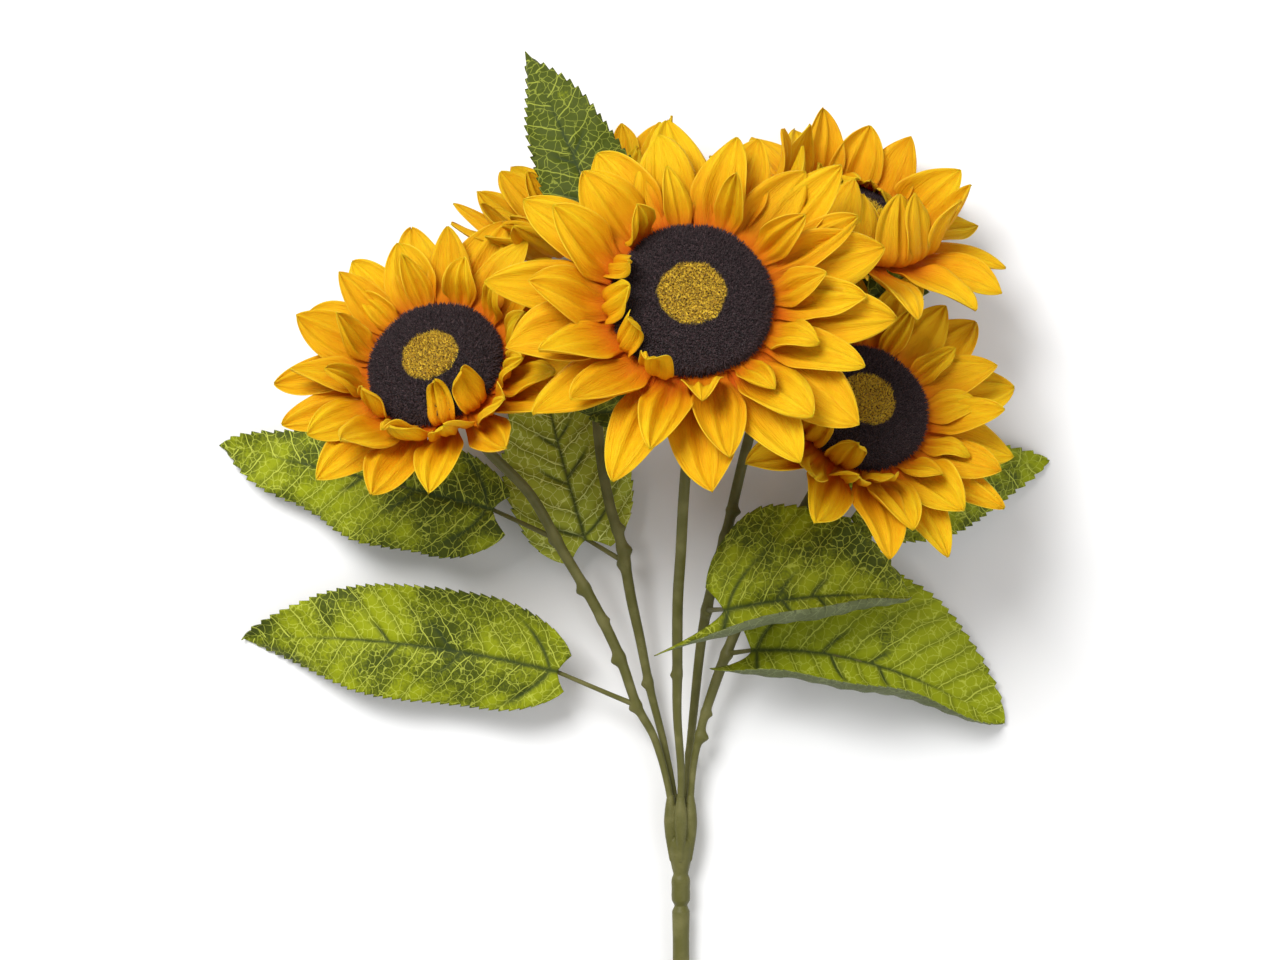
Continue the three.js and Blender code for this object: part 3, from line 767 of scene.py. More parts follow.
class BUNCH_OT_discs(bpy.types.Operator):
    """The flocked disc in the middle of each head"""
    bl_idname = "bunch.discs"
    bl_label = "Discs"

    def execute(self, context):
        look = context.scene.bunch_discs
        recipe = pile_recipe(disc_flock(look))
        for number, head in enumerate(HEADS, 1):
            own = turn_to(head["facing"])
            scale = head["scale"]
            facing = own[2]
            level = 2 * LEVEL_STEP + DISC_LIFT
            points, quads = disc_body(scale, np.random.default_rng(number))
            base = np.array(head["at"]) + facing * level
            mesh = mesh_from_quads("disc_body", points @ own + base + PLAN_ORIGIN, quads)
            body = add_object("disc_body", mesh)
            done = recipe.apply(body, f"flock_disc_{number}", Length=look.pile_length,
                                Count=int(look.pile_count * scale ** 2), Seed=number)
            from_axis = mesh_points(done) - base
            height = from_axis @ facing
            reach = np.linalg.norm(from_axis - np.outer(height, facing), axis=1)
            reach = reach / (DISC_RADIUS * scale)
            dome = scale * (DISC_RIM + DISC_RISE * np.sqrt(np.clip(1 - reach ** 2, 0, 1)))
            # painted shade at the fibre roots: full at the disc's surface, gone 1.2 mm above it
            root = smooth(-1.2, 0.2, dome - height)
            for label, values in (("reach", reach), ("root", root)):
                spot = done.attributes.new(label, "FLOAT", "POINT")
                spot.data.foreach_set("value", values.astype(np.float32))
            piece = add_object(f"flock_disc_{number}", done)
            settle(piece, f"disc_{number}")
        return {"FINISHED"}


# ---- calyxes --------------------------------------------------------------------------------

SEPALS = 11
SEPAL_ROWS = 14
SEPAL_COLUMNS = 7
SEPAL_WIDTH = 6.2                # half the widest part
SEPAL_START = 8.0                # how far out a sepal leaves the cup
SEPAL_THICKNESS = 0.9
CUP_SIDES = 66
CUP_FLUTE = 0.06
CALYX_SEED = 50

# The cup: radius and height at each turn of its outline, from the neck up to the petals.
CUP_OUTLINE = ((0, -24), (3.3, -24), (3.7, -23), (3.6, -19), (4.4, -16), (7.5, -12.5),
               (12.5, -9.5), (19, -6), (24, -3.2), (24.5, -1.6), (22, -1.2), (0, -1.2))


def calyx_plastic(look):
    surface = Surface("calyx_plastic", roughness=0.55, specular=0.4)
    cloud = surface.noise(surface.place(), 0.12, 3.0)
    grain = surface.noise(surface.place(), 1.1, 3.0)
    base = surface.mix(surface.band(cloud, 0.35, 0.7), look.calyx_colour,
                       look.plastic_colour)
    base = surface.mix(surface.math("MULTIPLY", surface.band(grain, 0.55, 0.8), 0.3), base,
                       look.worn_colour)
    return surface.finish(base, grain, distance=0.25, strength=0.5)


def turned_shell(profile, sides, flute=0.0, lobes=0):
    """A closed turned shape from (radius, height) pairs, bottom to top, with optional flutes."""
    profile = np.array(profile, dtype=float)
    angles = np.arange(sides) / sides * 2 * math.pi
    depth = flute * smooth(0.0, 0.4, np.linspace(0, 1, len(profile)))
    swell = 1 + np.outer(depth, np.cos(lobes * angles))
    radius = np.maximum(profile[:, 0], 0.02)[:, None] * swell
    height = np.outer(profile[:, 1], np.ones(sides))
    points = np.stack([radius * np.cos(angles), radius * np.sin(angles), height], axis=2)
    return points.reshape(-1, 3), capped_quads(len(profile), sides)


def sepal_shell(angle, reach, draw):
    """One moulded sepal as a closed tongue that lies along the cup and the outer petals."""
    rows, columns = SEPAL_ROWS, SEPAL_COLUMNS
    along = np.linspace(0, 1, rows)
    across = np.linspace(-1, 1, columns)
    s, u = np.meshgrid(along, across, indexing="ij")
    half = (1 - s ** 2.2) ** 0.8 * SEPAL_WIDTH + 0.12
    out = SEPAL_START + (reach * draw.uniform(0.93, 1.08) - SEPAL_START) * s
    droop = 1.6 * smooth(0.75, 1, s) * draw.uniform(0, 1)
    rise = -12.5 + 9.6 * np.sin(s * math.pi / 2) ** 1.15 - droop
    rise = rise + 0.05 * half * u ** 2 * 6 - 0.5 * np.exp(-(u / 0.25) ** 2) * (1 - s)
    side = u * half + draw.normal(0, 1.2) * s ** 2
    sheets = []
    for lift in (SEPAL_THICKNESS / 2, -SEPAL_THICKNESS / 2):
        level = rise + lift * (1 - 0.5 * s)
        sheets.append(np.stack([out * math.cos(angle) - side * math.sin(angle),
                                out * math.sin(angle) + side * math.cos(angle), level], axis=2))
    points = np.concatenate([sheet.reshape(-1, 3) for sheet in sheets])
    top = grid_quads(rows, columns)[:, ::-1]
    count = rows * columns
    edge = [*range(columns), *range(2 * columns - 1, count, columns),
            *range(count - 2, count - columns - 1, -1), *range(count - 2 * columns, 0, -columns)]
    rim = np.array([(a, b, b + count, a + count) for a, b in zip(edge, edge[1:] + edge[:1])])
    return points, np.concatenate([top, top[:, ::-1] + count, rim])


class BUNCH_OT_calyxes(bpy.types.Operator):
    """The green cup with its sepals behind each head"""
    bl_idname = "bunch.calyxes"
    bl_label = "Calyxes"

    def execute(self, context):
        plastic = calyx_plastic(context.scene.bunch_stems)
        for number, head in enumerate(HEADS, 1):
            own = turn_to(head["facing"])
            draw = np.random.default_rng(CALYX_SEED + number)
            shells = [turned_shell(CUP_OUTLINE, CUP_SIDES, CUP_FLUTE, SEPALS)]
            for sepal in range(SEPALS):
                angle = (sepal + draw.normal(0, 0.07)) / SEPALS * 2 * math.pi
                shells.append(sepal_shell(angle, SEPAL_REACH, draw))
            placed = [((points * head["scale"]) @ own + head["at"] + PLAN_ORIGIN, quads)
                      for points, quads in shells]
            piece = add_object(f"cup_{number}", join_meshes(f"cup_{number}", placed), plastic)
            settle(piece, f"calyx_{number}")
        return {"FINISHED"}


# ---- stems and collar -----------------------------------------------------------------------

# Bud bumps on the stems: head number, share of the way up, size in millimetres, side.
BUDS = ((2, 0.40, 1.7, -1), (2, 0.53, 1.6, -1), (2, 0.47, 0.9, 1), (5, 0.26, 1.3, -1),
        (5, 0.49, 1.7, 1), (5, 0.53, 1.3, 1), (4, 0.20, 1.3, 1), (4, 0.52, 1.7, 1),
        (4, 0.58, 1.5, 1), (3, 0.24, 2.0, 1), (3, 0.30, 1.1, 1), (1, 0.36, 0.9, -1))

STEM_STATIONS = 260
STEM_FOOT = 0.66                 # thickness where a stem leaves the collar, as a share of the full
STEM_GAIN = 0.38                 # what it gains by halfway up
STEM_TAPER = 0.06                # what it loses again by the neck
KNOT_SWELL = 0.28                # how much a bud thickens the stem, as a share of the bud's size
KNOT_REACH = 0.009               # and how far either way, as a share of the stem
BUD_SPREAD = 1.25                # how far a bud spreads round its middle, as a share of its size
JOINT_SIZE, JOINT_SPREAD = 1.5, 2.2    # the swelling where a leaf is pushed on, in millimetres
PLASTIC_SPOTS = (0.075, 0.070, 0.018)

COLLAR_SIDES = 80
SLEEVE_SIDES = 32
SKIN_GRAIN = 0.36                # finest detail left when collar and sleeves are made one skin
SKIN_EASING = 6

# Radius and depth below the mouth, from the cut end of the main stem up past the bead to the
# inside of the collar, and from the buried foot of a sleeve up to its lip.
COLLAR_OUTLINE = ((0, 148.4), (3.5, 148.3), (3.6, 147.2), (3.55, 120), (3.65, 90), (3.6, 60),
                  (3.8, 50), (3.85, 48), (3.2, 46.6), (2.65, 45.5), (3.2, 44.6), (3.95, 43.2),
                  (4.1, 41), (3.95, 38), (4.1, 35), (3.85, 33.4), (3.3, 32.3), (3.25, 31.4),
                  (3.8, 29.3), (4.5, 26), (5.1, 22.5), (5.5, 19.5), (5.2, 17.2), (4.0, 15.6),
                  (2.2, 15), (0, 14.9))
SLEEVE_OUTLINE = ((0, 26), (0.6, 26), (1.2, 22.5), (1.8, 19), (2.45, 15), (2.85, 11),
                  (2.95, 8.5), (2.8, 6), (2.5, 3), (2.2, 1), (1.85, -1), (1.5, -2.8), (0, -2.8))


def stem_plastic(look):
    """Moulded olive plastic with a paler bloom and fine lengthwise drawing."""
    surface = Surface("stem_plastic", roughness=0.5, specular=0.28)
    cloud = surface.noise(surface.place(), 0.10, 3.0)
    grain = surface.noise(surface.place(), 1.3, 4.0)
    base = surface.mix(surface.band(cloud, 0.40, 0.72), look.plastic_colour,
                       look.worn_colour)
    spots = surface.band(grain, 0.60, 0.74)
    base = surface.mix(surface.math("MULTIPLY", spots, 0.5), base, PLASTIC_SPOTS)
    gloss = surface.band(cloud, 0.3, 0.7, 0.42, 0.60)
    return surface.finish(base, grain, distance=0.25, strength=0.7, roughness=gloss)


def tube_recipe(material):
    """A round tube along a line of points, with its radius taken from each point."""
    recipe = Recipe("Tube", (("Sides", "Int", 20), ("Roughness", "Float", 0.00012),
                             ("Grain", "Float", 260.0), ("Seed", "Float", 0.0)))
    entry = recipe.entry
    line = recipe.node("GeometryNodeMeshToCurve", Mesh=entry["Geometry"])
    radius = recipe.node("GeometryNodeInputNamedAttribute", 0, {"data_type": "FLOAT"},
                         Name="radius_here")
    ring = recipe.node("GeometryNodeCurvePrimitiveCircle", Resolution=entry["Sides"], Radius=1.0)
    tube = recipe.node("GeometryNodeCurveToMesh", Curve=line, Profile_Curve=ring,
                       Scale=radius, Fill_Caps=True)
    bumps = recipe.node("ShaderNodeTexNoise", 0, {"noise_dimensions": "4D"}, Scale=entry["Grain"],
                        W=entry["Seed"])
    amount = recipe.math("MULTIPLY", recipe.math("SUBTRACT", bumps, 0.5), entry["Roughness"])
    push = recipe.node("ShaderNodeVectorMath", 0, {"operation": "SCALE"},
                       i0=recipe.node("GeometryNodeInputNormal"), Scale=amount)
    rough = recipe.node("GeometryNodeSetPosition", Geometry=tube, Offset=push)
    flat = recipe.node("GeometryNodeSetShadeSmooth", Geometry=rough, Shade_Smooth=True)
    recipe.deliver(flat, material)
    return recipe


def line_mesh(name, points, radii):
    """A chain of edges through the points, with a radius stored at each."""
    mesh = bpy.data.meshes.new(name)
    count = len(points)
    mesh.from_pydata([tuple((p + PLAN_ORIGIN) * MM) for p in points],
                     [(k, k + 1) for k in range(count - 1)], [])
    spot = mesh.attributes.new("radius_here", "FLOAT", "POINT")
    spot.data.foreach_set("value", np.asarray(radii, dtype=np.float32) * MM)
    return mesh


def down_main():
    """Unit direction of the main stem, from the mouth of the collar to the cut end."""
    drop = COLLAR_LENGTH + BEAD_LENGTH + MAIN_LENGTH
    return unit(np.array([0.6, -drop, MAIN_RADIUS - MOUTH[2]]))


def sleeve_point(turn, depth):
    angle = math.radians(turn)
    return MOUTH + SLEEVE_RING * np.array([math.cos(angle), 0, math.sin(angle)]) \
        + down_main() * depth


def stem_points(number):
    """Every point that the stem of a head passes, from its socket to the neck of the calyx."""
    turn, through = ROUTES[number - 1]
    head = HEADS[number - 1]
    facing = turn_to(head["facing"])[2]
    neck = np.array(head["at"]) - facing * (CALYX_DEPTH * head["scale"] + 0.35)
    return [sleeve_point(turn, SOCKET_DEPTH), sleeve_point(turn, 0), *map(np.array, through),
            neck - facing * 5, neck]


class BUNCH_OT_stems(bpy.types.Operator):
    """The five branch stems, with the bud bumps and the swellings where leaves are pushed on"""
    bl_idname = "bunch.stems"
    bl_label = "Branch stems"

    def execute(self, context):
        look = context.scene.bunch_stems
        recipe = tube_recipe(stem_plastic(look))
        count = STEM_STATIONS
        for number in range(1, len(HEADS) + 1):
            points = smooth_path(stem_points(number), count)
            share = np.linspace(0, 1, count)
            radii = look.radius / MM * (STEM_FOOT + STEM_GAIN * smooth(0.08, 0.45, share)
                                        - STEM_TAPER * share)
            lumps = [(at, size, BUD_SPREAD * size, np.array((turn, 0, 0.2)))
                     for stem, at, size, turn in BUDS if stem == number]
            for leaf in LEAVES:
                if leaf["stem"] == number - 1:
                    side = np.array(leaf["base"]) - points[int(leaf["start"] * (count - 1))]
                    lumps.append((leaf["start"], JOINT_SIZE, JOINT_SPREAD, side))
            for at, size, _, _ in lumps:
                radii = radii + KNOT_SWELL * size * np.exp(-((share - at) / KNOT_REACH) ** 2)
            line = add_object("line", line_mesh("line", points, radii))
            mesh = recipe.apply(line, f"branch_{number}", Seed=float(number))
            places = mesh_points(mesh)
            for at, size, spread, side in lumps:
                spot = int(at * (count - 1))
                ahead = unit(points[spot + 1] - points[spot])
                away = unit(side - ahead * np.dot(side, ahead))
                gap = np.linalg.norm(places - points[spot] - away * radii[spot], axis=1)
                places = places + np.outer(size * np.exp(-(gap / spread) ** 2), away)
            mesh.vertices.foreach_set("co", ((places + PLAN_ORIGIN) * MM).ravel())
            piece = add_object(f"branch_{number}", mesh)
            settle(piece, f"stem_{number}")
        return {"FINISHED"}


class BUNCH_OT_collar(bpy.types.Operator):
    """The collar with its five finger sleeves, its bead and the main stem"""
    bl_idname = "bunch.collar"
    bl_label = "Collar and main stem"

    def execute(self, context):
        look = context.scene.bunch_stems
        own = turn_to(-down_main())
        outline = [(radius, -depth) for radius, depth in COLLAR_OUTLINE]
        turned, quads = turned_shell(outline, COLLAR_SIDES)
        shells = [(turned @ own + MOUTH + PLAN_ORIGIN, quads)]
        outline = [(radius, -depth) for radius, depth in SLEEVE_OUTLINE]
        sleeve, quads = turned_shell(outline, SLEEVE_SIDES)
        for turn, _ in ROUTES:
            shells.append((sleeve @ own + sleeve_point(turn, 0) + PLAN_ORIGIN, quads))
        piece = add_object("collar_body", join_meshes("collar_body", shells), stem_plastic(look))
        bpy.context.view_layer.objects.active = piece
        remesh = piece.modifiers.new("one skin", "REMESH")
        remesh.mode = "VOXEL"
        remesh.voxel_size = SKIN_GRAIN * MM
        remesh.use_smooth_shade = True
        ease = piece.modifiers.new("ease", "SMOOTH")
        ease.factor, ease.iterations = 0.5, SKIN_EASING
        graph = context.evaluated_depsgraph_get()
        whole = bpy.data.meshes.new_from_object(piece.evaluated_get(graph), depsgraph=graph)
        piece.modifiers.clear()
        piece.data = whole
        settle(piece, "collar_and_main_stem")
        return {"FINISHED"}


# ---- leaves ---------------------------------------------------------------------------------

LEAF_ROWS = 170
LEAF_COLUMNS = 68
LEAF_START = 0.012
VEIN_SLOPE = 0.62                # how far a side vein runs forward for each step outward
VEIN_CURVE = 0.006
HALF_SHIFT = 0.45                # share of a pitch between the veins of the two halves
RIB_SHARE = 0.62                 # how far the moulded rib runs along a leaf
LOBE_SAG = 0.5                   # how far a lobe longer than LOBE_PLAIN swings outward
LOBE_PLAIN = 10.0
VEIN_RELIEF = 0.75               # height of the cloth between two side veins, in millimetres
GROOVE = 1.2                     # depth of the groove over a rib
MIDRIB_GROOVE = 2.2              # its half width over the midrib, then over a side rib
SIDE_GROOVE = 1.7
SIDE_SHADE = 0.95                # half width of the dark shade over a side rib
TOOTH_FLARE = 0.8
LEAF_SEED = 700
UV_STEP = 400.0                  # gap between the flat patterns of two leaves
LEAF_WAVES = (1.6, 2.8)          # waves along an edge, by chance
WAVE_HEIGHT = (1.8, 3.2)
# pale vein colour for painted light shining through a leaf
PAINTED_LIT_VEIN = (0.86, 0.92, 0.30)
UNDER_VEIN = (0.30, 0.34, 0.15)

# The ribs moulded under a blade: where each leaves the midrib as a share of the leaf, how far out
# it reaches in millimetres, how far it runs forward for each step outward, and how it curves.
SIDE_RIBS = ((0.035, 26.0, 0.55, 0.022), (0.30, 15.0, 0.75, 0.016), (0.49, 10.0, 0.9, 0.010))


def leaf_print(look):
    """Printed cloth: greens, pale side veins, a net between them and dark shade over the ribs, with
    painted shade beside the veins and painted light through the palest leaves.
    """
    surface = Surface("leaf_cloth", roughness=0.65, specular=0.16)
    rib = surface.mark("rib")
    tone = surface.mark("tone")
    flat = surface.place(uv=True)
    across = surface.node("ShaderNodeSeparateXYZ", "X", Vector=flat)
    along = surface.node("ShaderNodeSeparateXYZ", "Y", Vector=flat)
    underside = surface.mark("underside")
    far = surface.math("ABSOLUTE", across)
    half = surface.math("GREATER_THAN", across, 0.0)
    wander = surface.noise(flat, 0.09, 2.0)
    bend = surface.math("MULTIPLY", far, surface.math("MULTIPLY_ADD", far, VEIN_CURVE, VEIN_SLOPE))
    field = surface.math("DIVIDE", surface.math("SUBTRACT", along, bend), look.vein_pitch / MM)
    field = surface.math("MULTIPLY_ADD", half, HALF_SHIFT, field)
    field = surface.math("MULTIPLY_ADD", wander, 0.5, field)
    apart = surface.math("ABSOLUTE", surface.math("SUBTRACT", field, surface.math("ROUND", field)))
    apart = surface.math("MULTIPLY", apart, look.vein_pitch / MM)
    cloud = surface.noise(surface.place(), 0.05, 3.0)
    grain = surface.noise(flat, 0.9, 4.0)
    level = surface.math("MULTIPLY_ADD", grain, 0.35, cloud)
    level = surface.math("MULTIPLY_ADD", tone, 0.5, level)
    bright = surface.band(level, 0.80, 1.08)
    ground = surface.mix(bright, look.deep_colour, look.bright_colour)
    # painted light: leaves with tone over 1 are paled towards the vein colours, as if lit through
    # the cloth
    painted_through_light = surface.band(tone, 1.0, 2.0)
    ground = surface.mix(surface.math("MULTIPLY", painted_through_light, 0.45), ground,
                         look.vein_colour)
    vein = surface.mix(painted_through_light, look.vein_colour, PAINTED_LIT_VEIN)
    # painted shade: the ground darkens towards deep green within a few millimetres of each side
    # vein
    painted_vein_shade = surface.band(apart, 0.2, 3.6, 0.45, 0.0)
    ground = surface.mix(painted_vein_shade, ground, look.deep_colour)
    cells = surface.node("ShaderNodeTexVoronoi", "Distance", {"feature": "DISTANCE_TO_EDGE"},
                         Vector=surface.pushed(flat, 0.22, 3.0), Scale=0.27)
    net = surface.band(cells, 0.010, 0.055, 0.60, 0.0)
    fine = surface.band(surface.math("MULTIPLY_ADD", far, 0.006, apart), 0.15, 0.42, 0.9, 0.0)
    pale = surface.math("MAXIMUM", net, fine)
    pale = surface.math("MULTIPLY", pale, surface.band(tone, 0.1, 0.5, 0.55, 1.0))
    top = surface.mix(pale, ground, vein)
    top = surface.mix(surface.math("MULTIPLY", rib, 0.9), top, look.shade_colour)
    back = surface.mix(surface.math("MULTIPLY", pale, 0.7), look.under_colour, UNDER_VEIN)
    back = surface.mix(surface.band(cloud, 0.4, 0.7, 0.0, 0.35), back, look.deep_colour)
    printed = surface.mix(underside, top, back)
    weave = surface.noise(surface.place(), 2.6, 3.0)
    height = surface.math("MULTIPLY_ADD", pale, 0.6, surface.math("MULTIPLY", weave, 0.5))
    return surface.finish(printed, height, distance=0.22, strength=0.6)


def leaf_outline(along, taper):
    """Share of a half's full width: broad near the base, drawn out at the tip."""
    return 2.04 * along ** (0.42 + 0.3 * (0.92 - taper)) * (1 - along) ** taper


def leaf_spine(leaf, along):
    """Middle of the leaf and its ahead, side and up directions at each share along it."""
    base, bend, tip = (np.array(leaf[key], dtype=float) for key in ("base", "bend", "tip"))
    a = np.asarray(along)[..., None]
    middle = (1 - a) ** 2 * base + 2 * a * (1 - a) * bend + a ** 2 * tip
    ahead = unit((1 - a) * (bend - base) + a * (tip - bend))
    side = unit(np.cross(np.array((0.0, 0.0, 1.0)), ahead))
    return middle, ahead, side, np.cross(ahead, side)


def leaf_ribs(a, flat_out, on_left, span):
    """The dark shade over the moulded ribs and the groove that they press, each from 0 to 1."""
    rib = np.exp(-(flat_out / (0.45 + 0.95 * (1 - a))) ** 2) * smooth(0.92, 0.6, a)
    groove = np.exp(-(flat_out / MIDRIB_GROOVE) ** 2) * smooth(0.95, 0.3, a)
    for start, far, slope, curve in SIDE_RIBS:
        shift = np.where(on_left, 0.0, 0.035) if start > 0.1 else 0.0
        line = (start + shift) * span + flat_out * slope + curve * flat_out ** 2
        gap = (a * span - line) / np.hypot(1, slope + 2 * curve * flat_out)
        fade = smooth(far, 0.45 * far, flat_out)
        rib = np.maximum(rib, np.exp(-(gap / SIDE_SHADE) ** 2) * fade)
        groove = np.maximum(groove, 0.8 * np.exp(-(gap / SIDE_GROOVE) ** 2) * fade)
    return rib, groove


def leaf_relief(a, u, flat_out, vein, draw):
    """How far a blade stands off its curl: raised cloth between the veins, and a wavy edge."""
    apart = np.abs(vein - np.round(vein))
    inside = smooth(1.0, 0.75, np.abs(u)) * smooth(0.0, 0.08, a) * smooth(1.0, 0.85, a)
    relief = VEIN_RELIEF * (np.sqrt(apart * 2 + 0.01) - 0.6) * inside
    waves, phase = draw.uniform(*LEAF_WAVES), draw.uniform(0, 6.28, 2)
    sway = np.sin(2 * math.pi * waves * a + np.where(u > 0, phase[0], phase[1]))
    relief += draw.uniform(*WAVE_HEIGHT) * np.abs(u) ** 2.2 * sway * smooth(0.0, 0.25, a)
    relief += 0.5 * np.sin(0.23 * flat_out + 5 * a + phase[0]) * np.sin(11 * a) * inside
    return relief


def leaf_grid(leaf, look, draw):
    """Middle surface of a blade with its toothed edge, veins and waves, and where it lies flat."""
    along = LEAF_START + (1 - LEAF_START) * np.linspace(0, 1, LEAF_ROWS)
    across = np.linspace(-1, 1, LEAF_COLUMNS + 1)
    a, u = np.meshgrid(along, across, indexing="ij")
    middle, ahead, side, up = leaf_spine(leaf, a)
    span = float(np.linalg.norm(np.diff(middle[:, 0], axis=0), axis=1).sum())
    left, right = leaf["halves"]
    on_left = u > 0
    width, turn, lobe = (np.where(on_left, left[k], right[k]).astype(float) for k in range(3))
    turn = np.radians(np.where(turn == 0, 0.05, turn))
    reach = width * leaf_outline(a, leaf["taper"]) + 0.25
    tooth, pitch = look.tooth / MM, look.tooth_pitch / MM
    count = a * span / pitch + np.where(on_left, 0.0, 0.5) + 0.15 * np.sin(9 * a)
    saw = count - np.floor(count)
    edge = smooth(0.80, 1.0, np.abs(u)) * smooth(0.0, 0.1, a) * smooth(1.0, 0.93, a)
    bite = tooth * (saw - 0.45) * edge
    flat_out = reach * np.abs(u) + bite
    vein = a * span - flat_out * (VEIN_SLOPE + VEIN_CURVE * flat_out)
    vein = vein / (look.vein_pitch / MM) + np.where(on_left, HALF_SHIFT, 0.0)
    rib, groove = leaf_ribs(a, flat_out, on_left, span)
    relief = leaf_relief(a, u, flat_out, vein, draw) - GROOVE * groove
    scale = 1 + bite / np.maximum(reach, 1)
    sweep = turn * np.abs(u)
    back = lobe * (1 - a) ** 3 * np.abs(u) ** 1.5 - TOOTH_FLARE * tooth * saw * edge
    sag = LOBE_SAG * np.maximum(0, lobe - LOBE_PLAIN) * (1 - a) ** 3 * np.abs(u) ** 1.5
    outward = np.sign(u) * ((reach / turn) * np.sin(sweep) * scale + sag)
    rise = (reach / turn) * (1 - np.cos(sweep))
    lift_out, lift_up = -np.sin(sweep) * np.sign(u), np.cos(sweep)
    grid = middle + side * (outward + relief * lift_out)[..., None] \
        + up * (rise + relief * lift_up)[..., None] - ahead * back[..., None]
    grid = above_table(grid)
    flat = np.stack([np.sign(u) * flat_out, a * span - back], axis=2)
    return grid, flat, rib


class BUNCH_OT_leaves(bpy.types.Operator):
    """The nine printed cloth leaves"""
    bl_idname = "bunch.leaves"
    bl_label = "Leaves"

    def execute(self, context):
        look = context.scene.bunch_leaves
        cloth = leaf_print(look)
        quads = grid_quads(LEAF_ROWS, LEAF_COLUMNS + 1)[:, ::-1]
        for number, leaf in enumerate(LEAVES, 1):
            draw = np.random.default_rng(LEAF_SEED + number)
            grid, flat, rib = leaf_grid(leaf, look, draw)
            points = grid.reshape(-1, 3) + PLAN_ORIGIN
            uv = flat.reshape(-1, 2) + (0, UV_STEP * number)
            mesh = cloth_mesh(f"blade_{number}", points, quads, look.thickness / MM,
                              {"rib": rib.ravel(), "tone": np.full(rib.size, leaf["tone"])}, uv)
            piece = add_object(f"blade_{number}", mesh, cloth)
            settle(piece, f"leaf_{number}")
        return {"FINISHED"}


STALK_STATIONS = 30
STALK_SIDES = 12
STALK_SEED = 20.0
STALK_FOOT = 1.25                # thickness at the stem, as a share of the rib's
STALK_TAPER = 0.75               # what it loses by the end of the rib
RIB_DROP = 0.6                   # how deep the rib hangs under the blade, as a share of its radius
RIB_GAP = 0.9                    # and in millimetres more, to clear the moulded relief
BASE_DROP = 2.6                  # and more again at the base of the blade


class BUNCH_OT_petioles(bpy.types.Operator):
    """The stalk of each leaf, which runs on under the blade as its moulded rib"""
    bl_idname = "bunch.petioles"
    bl_label = "Leaf stalks"

    def execute(self, context):
        look = context.scene.bunch_stems
        radius = context.scene.bunch_leaves.rib_radius / MM
        under = context.scene.bunch_leaves.thickness / MM / 2
        recipe = tube_recipe(stem_plastic(look))
        for number, leaf in enumerate(LEAVES, 1):
            stem = stem_points(leaf["stem"] + 1)
            joint = curve_point(stem, leaf["start"])
            share = np.linspace(0.02, RIB_SHARE, STALK_STATIONS)
            middle, _, _, up = leaf_spine(leaf, share)
            drop = radius * RIB_DROP + under + RIB_GAP + BASE_DROP * (1 - share) ** 6
            rib = middle - up * drop[:, None]
            arch = joint + 0.35 * (rib[0] - joint) + (0, 0, 1.0)
            stalk = smooth_path([joint, arch, rib[0]], STALK_STATIONS)
            points = np.concatenate([stalk[:-1], rib])
            along = np.linspace(0, 1, len(points))
            radii = radius * (STALK_FOOT - STALK_TAPER * along)
            line = add_object("line", line_mesh("line", points, radii))
            mesh = recipe.apply(line, f"stalk_{number}", Sides=STALK_SIDES,
                                Seed=STALK_SEED + number)
            settle(add_object(f"stalk_{number}", mesh), f"petiole_{number}")
        return {"FINISHED"}


# ---- stage ----------------------------------------------------------------------------------

FLOOR_EDGE = 4.0                 # half the side of the floor, in metres
SENSOR = 36.0
KEY_SIZE, KEY_PLACE = 0.8, (-0.6, 0.8, 1.5)
FILL_SIZE, FILL_PLACE = 1.6, (1.0, -0.5, 1.3)
LIGHT_AIM = 0.05                 # height over the table that the lights point at


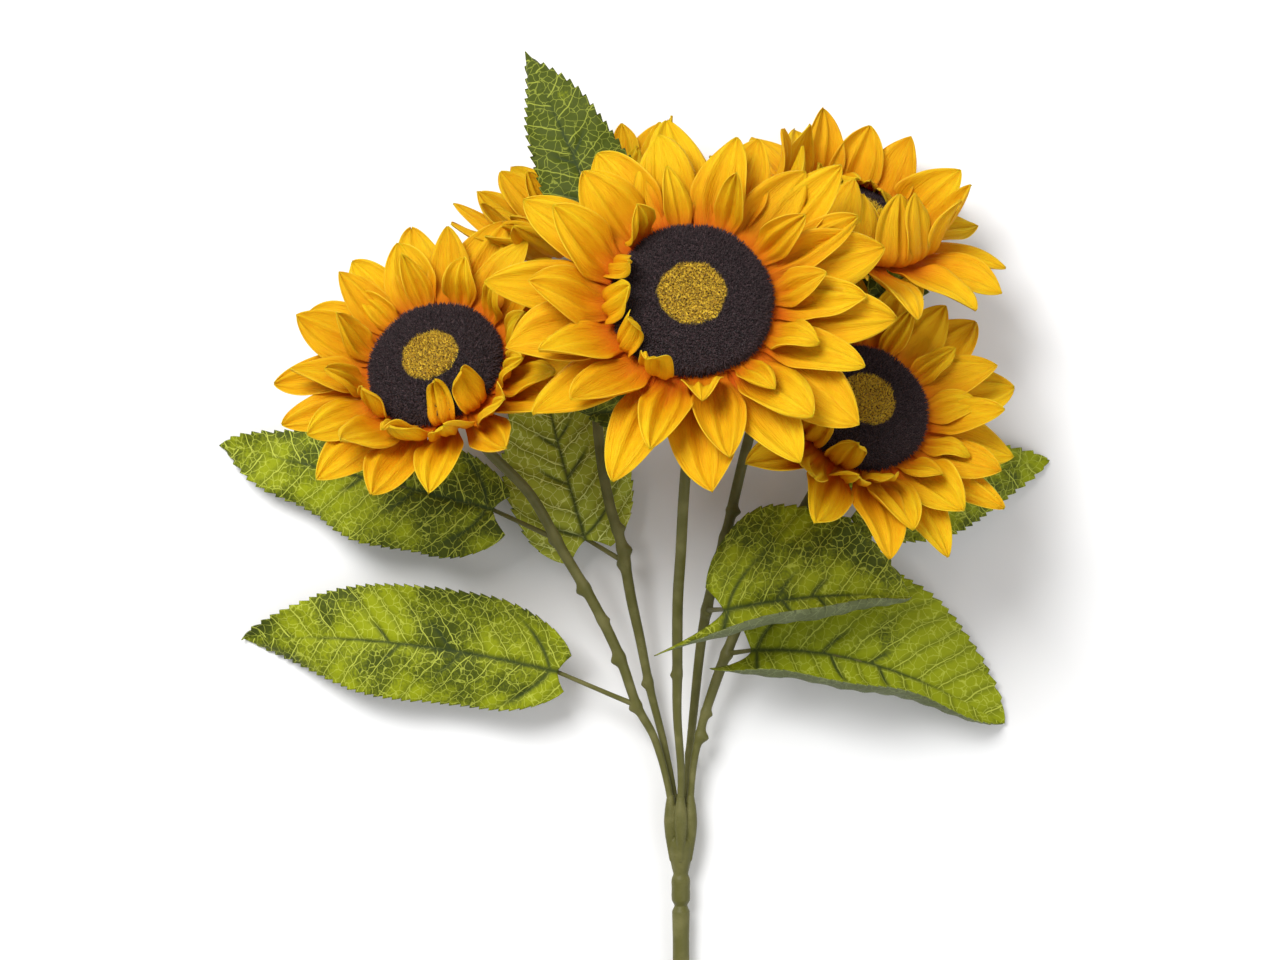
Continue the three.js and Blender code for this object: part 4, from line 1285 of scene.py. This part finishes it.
class BUNCH_OT_stage(bpy.types.Operator):
    """The pale floor, the soft lights and the camera over the bunch"""
    bl_idname = "bunch.stage"
    bl_label = "Stage"

    def execute(self, context):
        look = context.scene.bunch_stage
        scene = context.scene
        floor_mesh = bpy.data.meshes.new("floor")
        sides = ((-1, -1), (1, -1), (1, 1), (-1, 1))
        corners = [(x * FLOOR_EDGE, y * FLOOR_EDGE, 0) for x, y in sides]
        floor_mesh.from_pydata(corners, [], [(0, 1, 2, 3)])
        surface = Surface("floor", roughness=0.85, specular=0.2)
        surface.finish(look.floor_colour)
        floor = add_object("floor", floor_mesh, surface.material)
        middle = PLAN_ORIGIN * MM
        lights = (("key", look.key_power, KEY_SIZE, KEY_PLACE),
                  ("fill", look.fill_power, FILL_SIZE, FILL_PLACE))
        for name, power, size, offset in lights:
            data = bpy.data.lights.new(name, "AREA")
            data.energy, data.size = power, size
            light = bpy.data.objects.new(name, data)
            scene.collection.objects.link(light)
            light.location = (middle[0] + offset[0], middle[1] + offset[1], offset[2])
            aim = Vector((middle[0], middle[1], LIGHT_AIM)) - light.location
            light.rotation_euler = aim.to_track_quat("-Z", "Y").to_euler()
        world = bpy.data.worlds.new("room")
        world.use_nodes = True
        back = world.node_tree.nodes["Background"]
        back.inputs["Color"].default_value = (1, 1, 1, 1)
        back.inputs["Strength"].default_value = look.sky
        scene.world = world
        data = bpy.data.cameras.new("camera")
        data.sensor_width = SENSOR
        data.lens = SENSOR / 2 * look.camera_height / (VIEW_HALF_WIDTH * MM)
        camera = bpy.data.objects.new("camera", data)
        scene.collection.objects.link(camera)
        camera.location = (middle[0], middle[1], look.camera_height)
        scene.camera = camera
        scene.view_settings.view_transform = "Standard"
        return {"FINISHED"}


class BUNCH_PT_panel(bpy.types.Panel):
    """One button for each kind of piece"""
    bl_idname = "BUNCH_PT_panel"
    bl_label = "Sunflower bunch"
    bl_space_type = "VIEW_3D"
    bl_region_type = "UI"
    bl_category = "Sunflowers"

    def draw(self, context):
        for operator, group in PARTS:
            box = self.layout.box()
            box.operator(operator.bl_idname)
            settings = getattr(context.scene, group)
            for key in settings.bl_rna.properties.keys():
                if key not in ("rna_type", "name"):
                    box.prop(settings, key)


PARTS = (
    (BUNCH_OT_petals, "bunch_petals"),
    (BUNCH_OT_discs, "bunch_discs"),
    (BUNCH_OT_calyxes, "bunch_stems"),
    (BUNCH_OT_stems, "bunch_stems"),
    (BUNCH_OT_collar, "bunch_stems"),
    (BUNCH_OT_leaves, "bunch_leaves"),
    (BUNCH_OT_petioles, "bunch_stems"),
    (BUNCH_OT_stage, "bunch_stage"),
)

SETTINGS = {"bunch_petals": PetalSettings, "bunch_discs": DiscSettings,
            "bunch_leaves": LeafSettings, "bunch_stems": StemSettings,
            "bunch_stage": StageSettings}

CLASSES = (*SETTINGS.values(), *(operator for operator, _ in PARTS), BUNCH_PT_panel)


def register():
    for made in CLASSES:
        bpy.utils.register_class(made)
    for name, group in SETTINGS.items():
        setattr(bpy.types.Scene, name, PointerProperty(type=group))


def unregister():
    for name in SETTINGS:
        delattr(bpy.types.Scene, name)
    for made in reversed(CLASSES):
        bpy.utils.unregister_class(made)


def main():
    register()
    bpy.ops.bunch.petals()
    bpy.ops.bunch.discs()
    bpy.ops.bunch.calyxes()
    bpy.ops.bunch.stems()
    bpy.ops.bunch.collar()
    bpy.ops.bunch.leaves()
    bpy.ops.bunch.petioles()
    bpy.ops.bunch.stage()


if __name__ == "__main__":
    main()
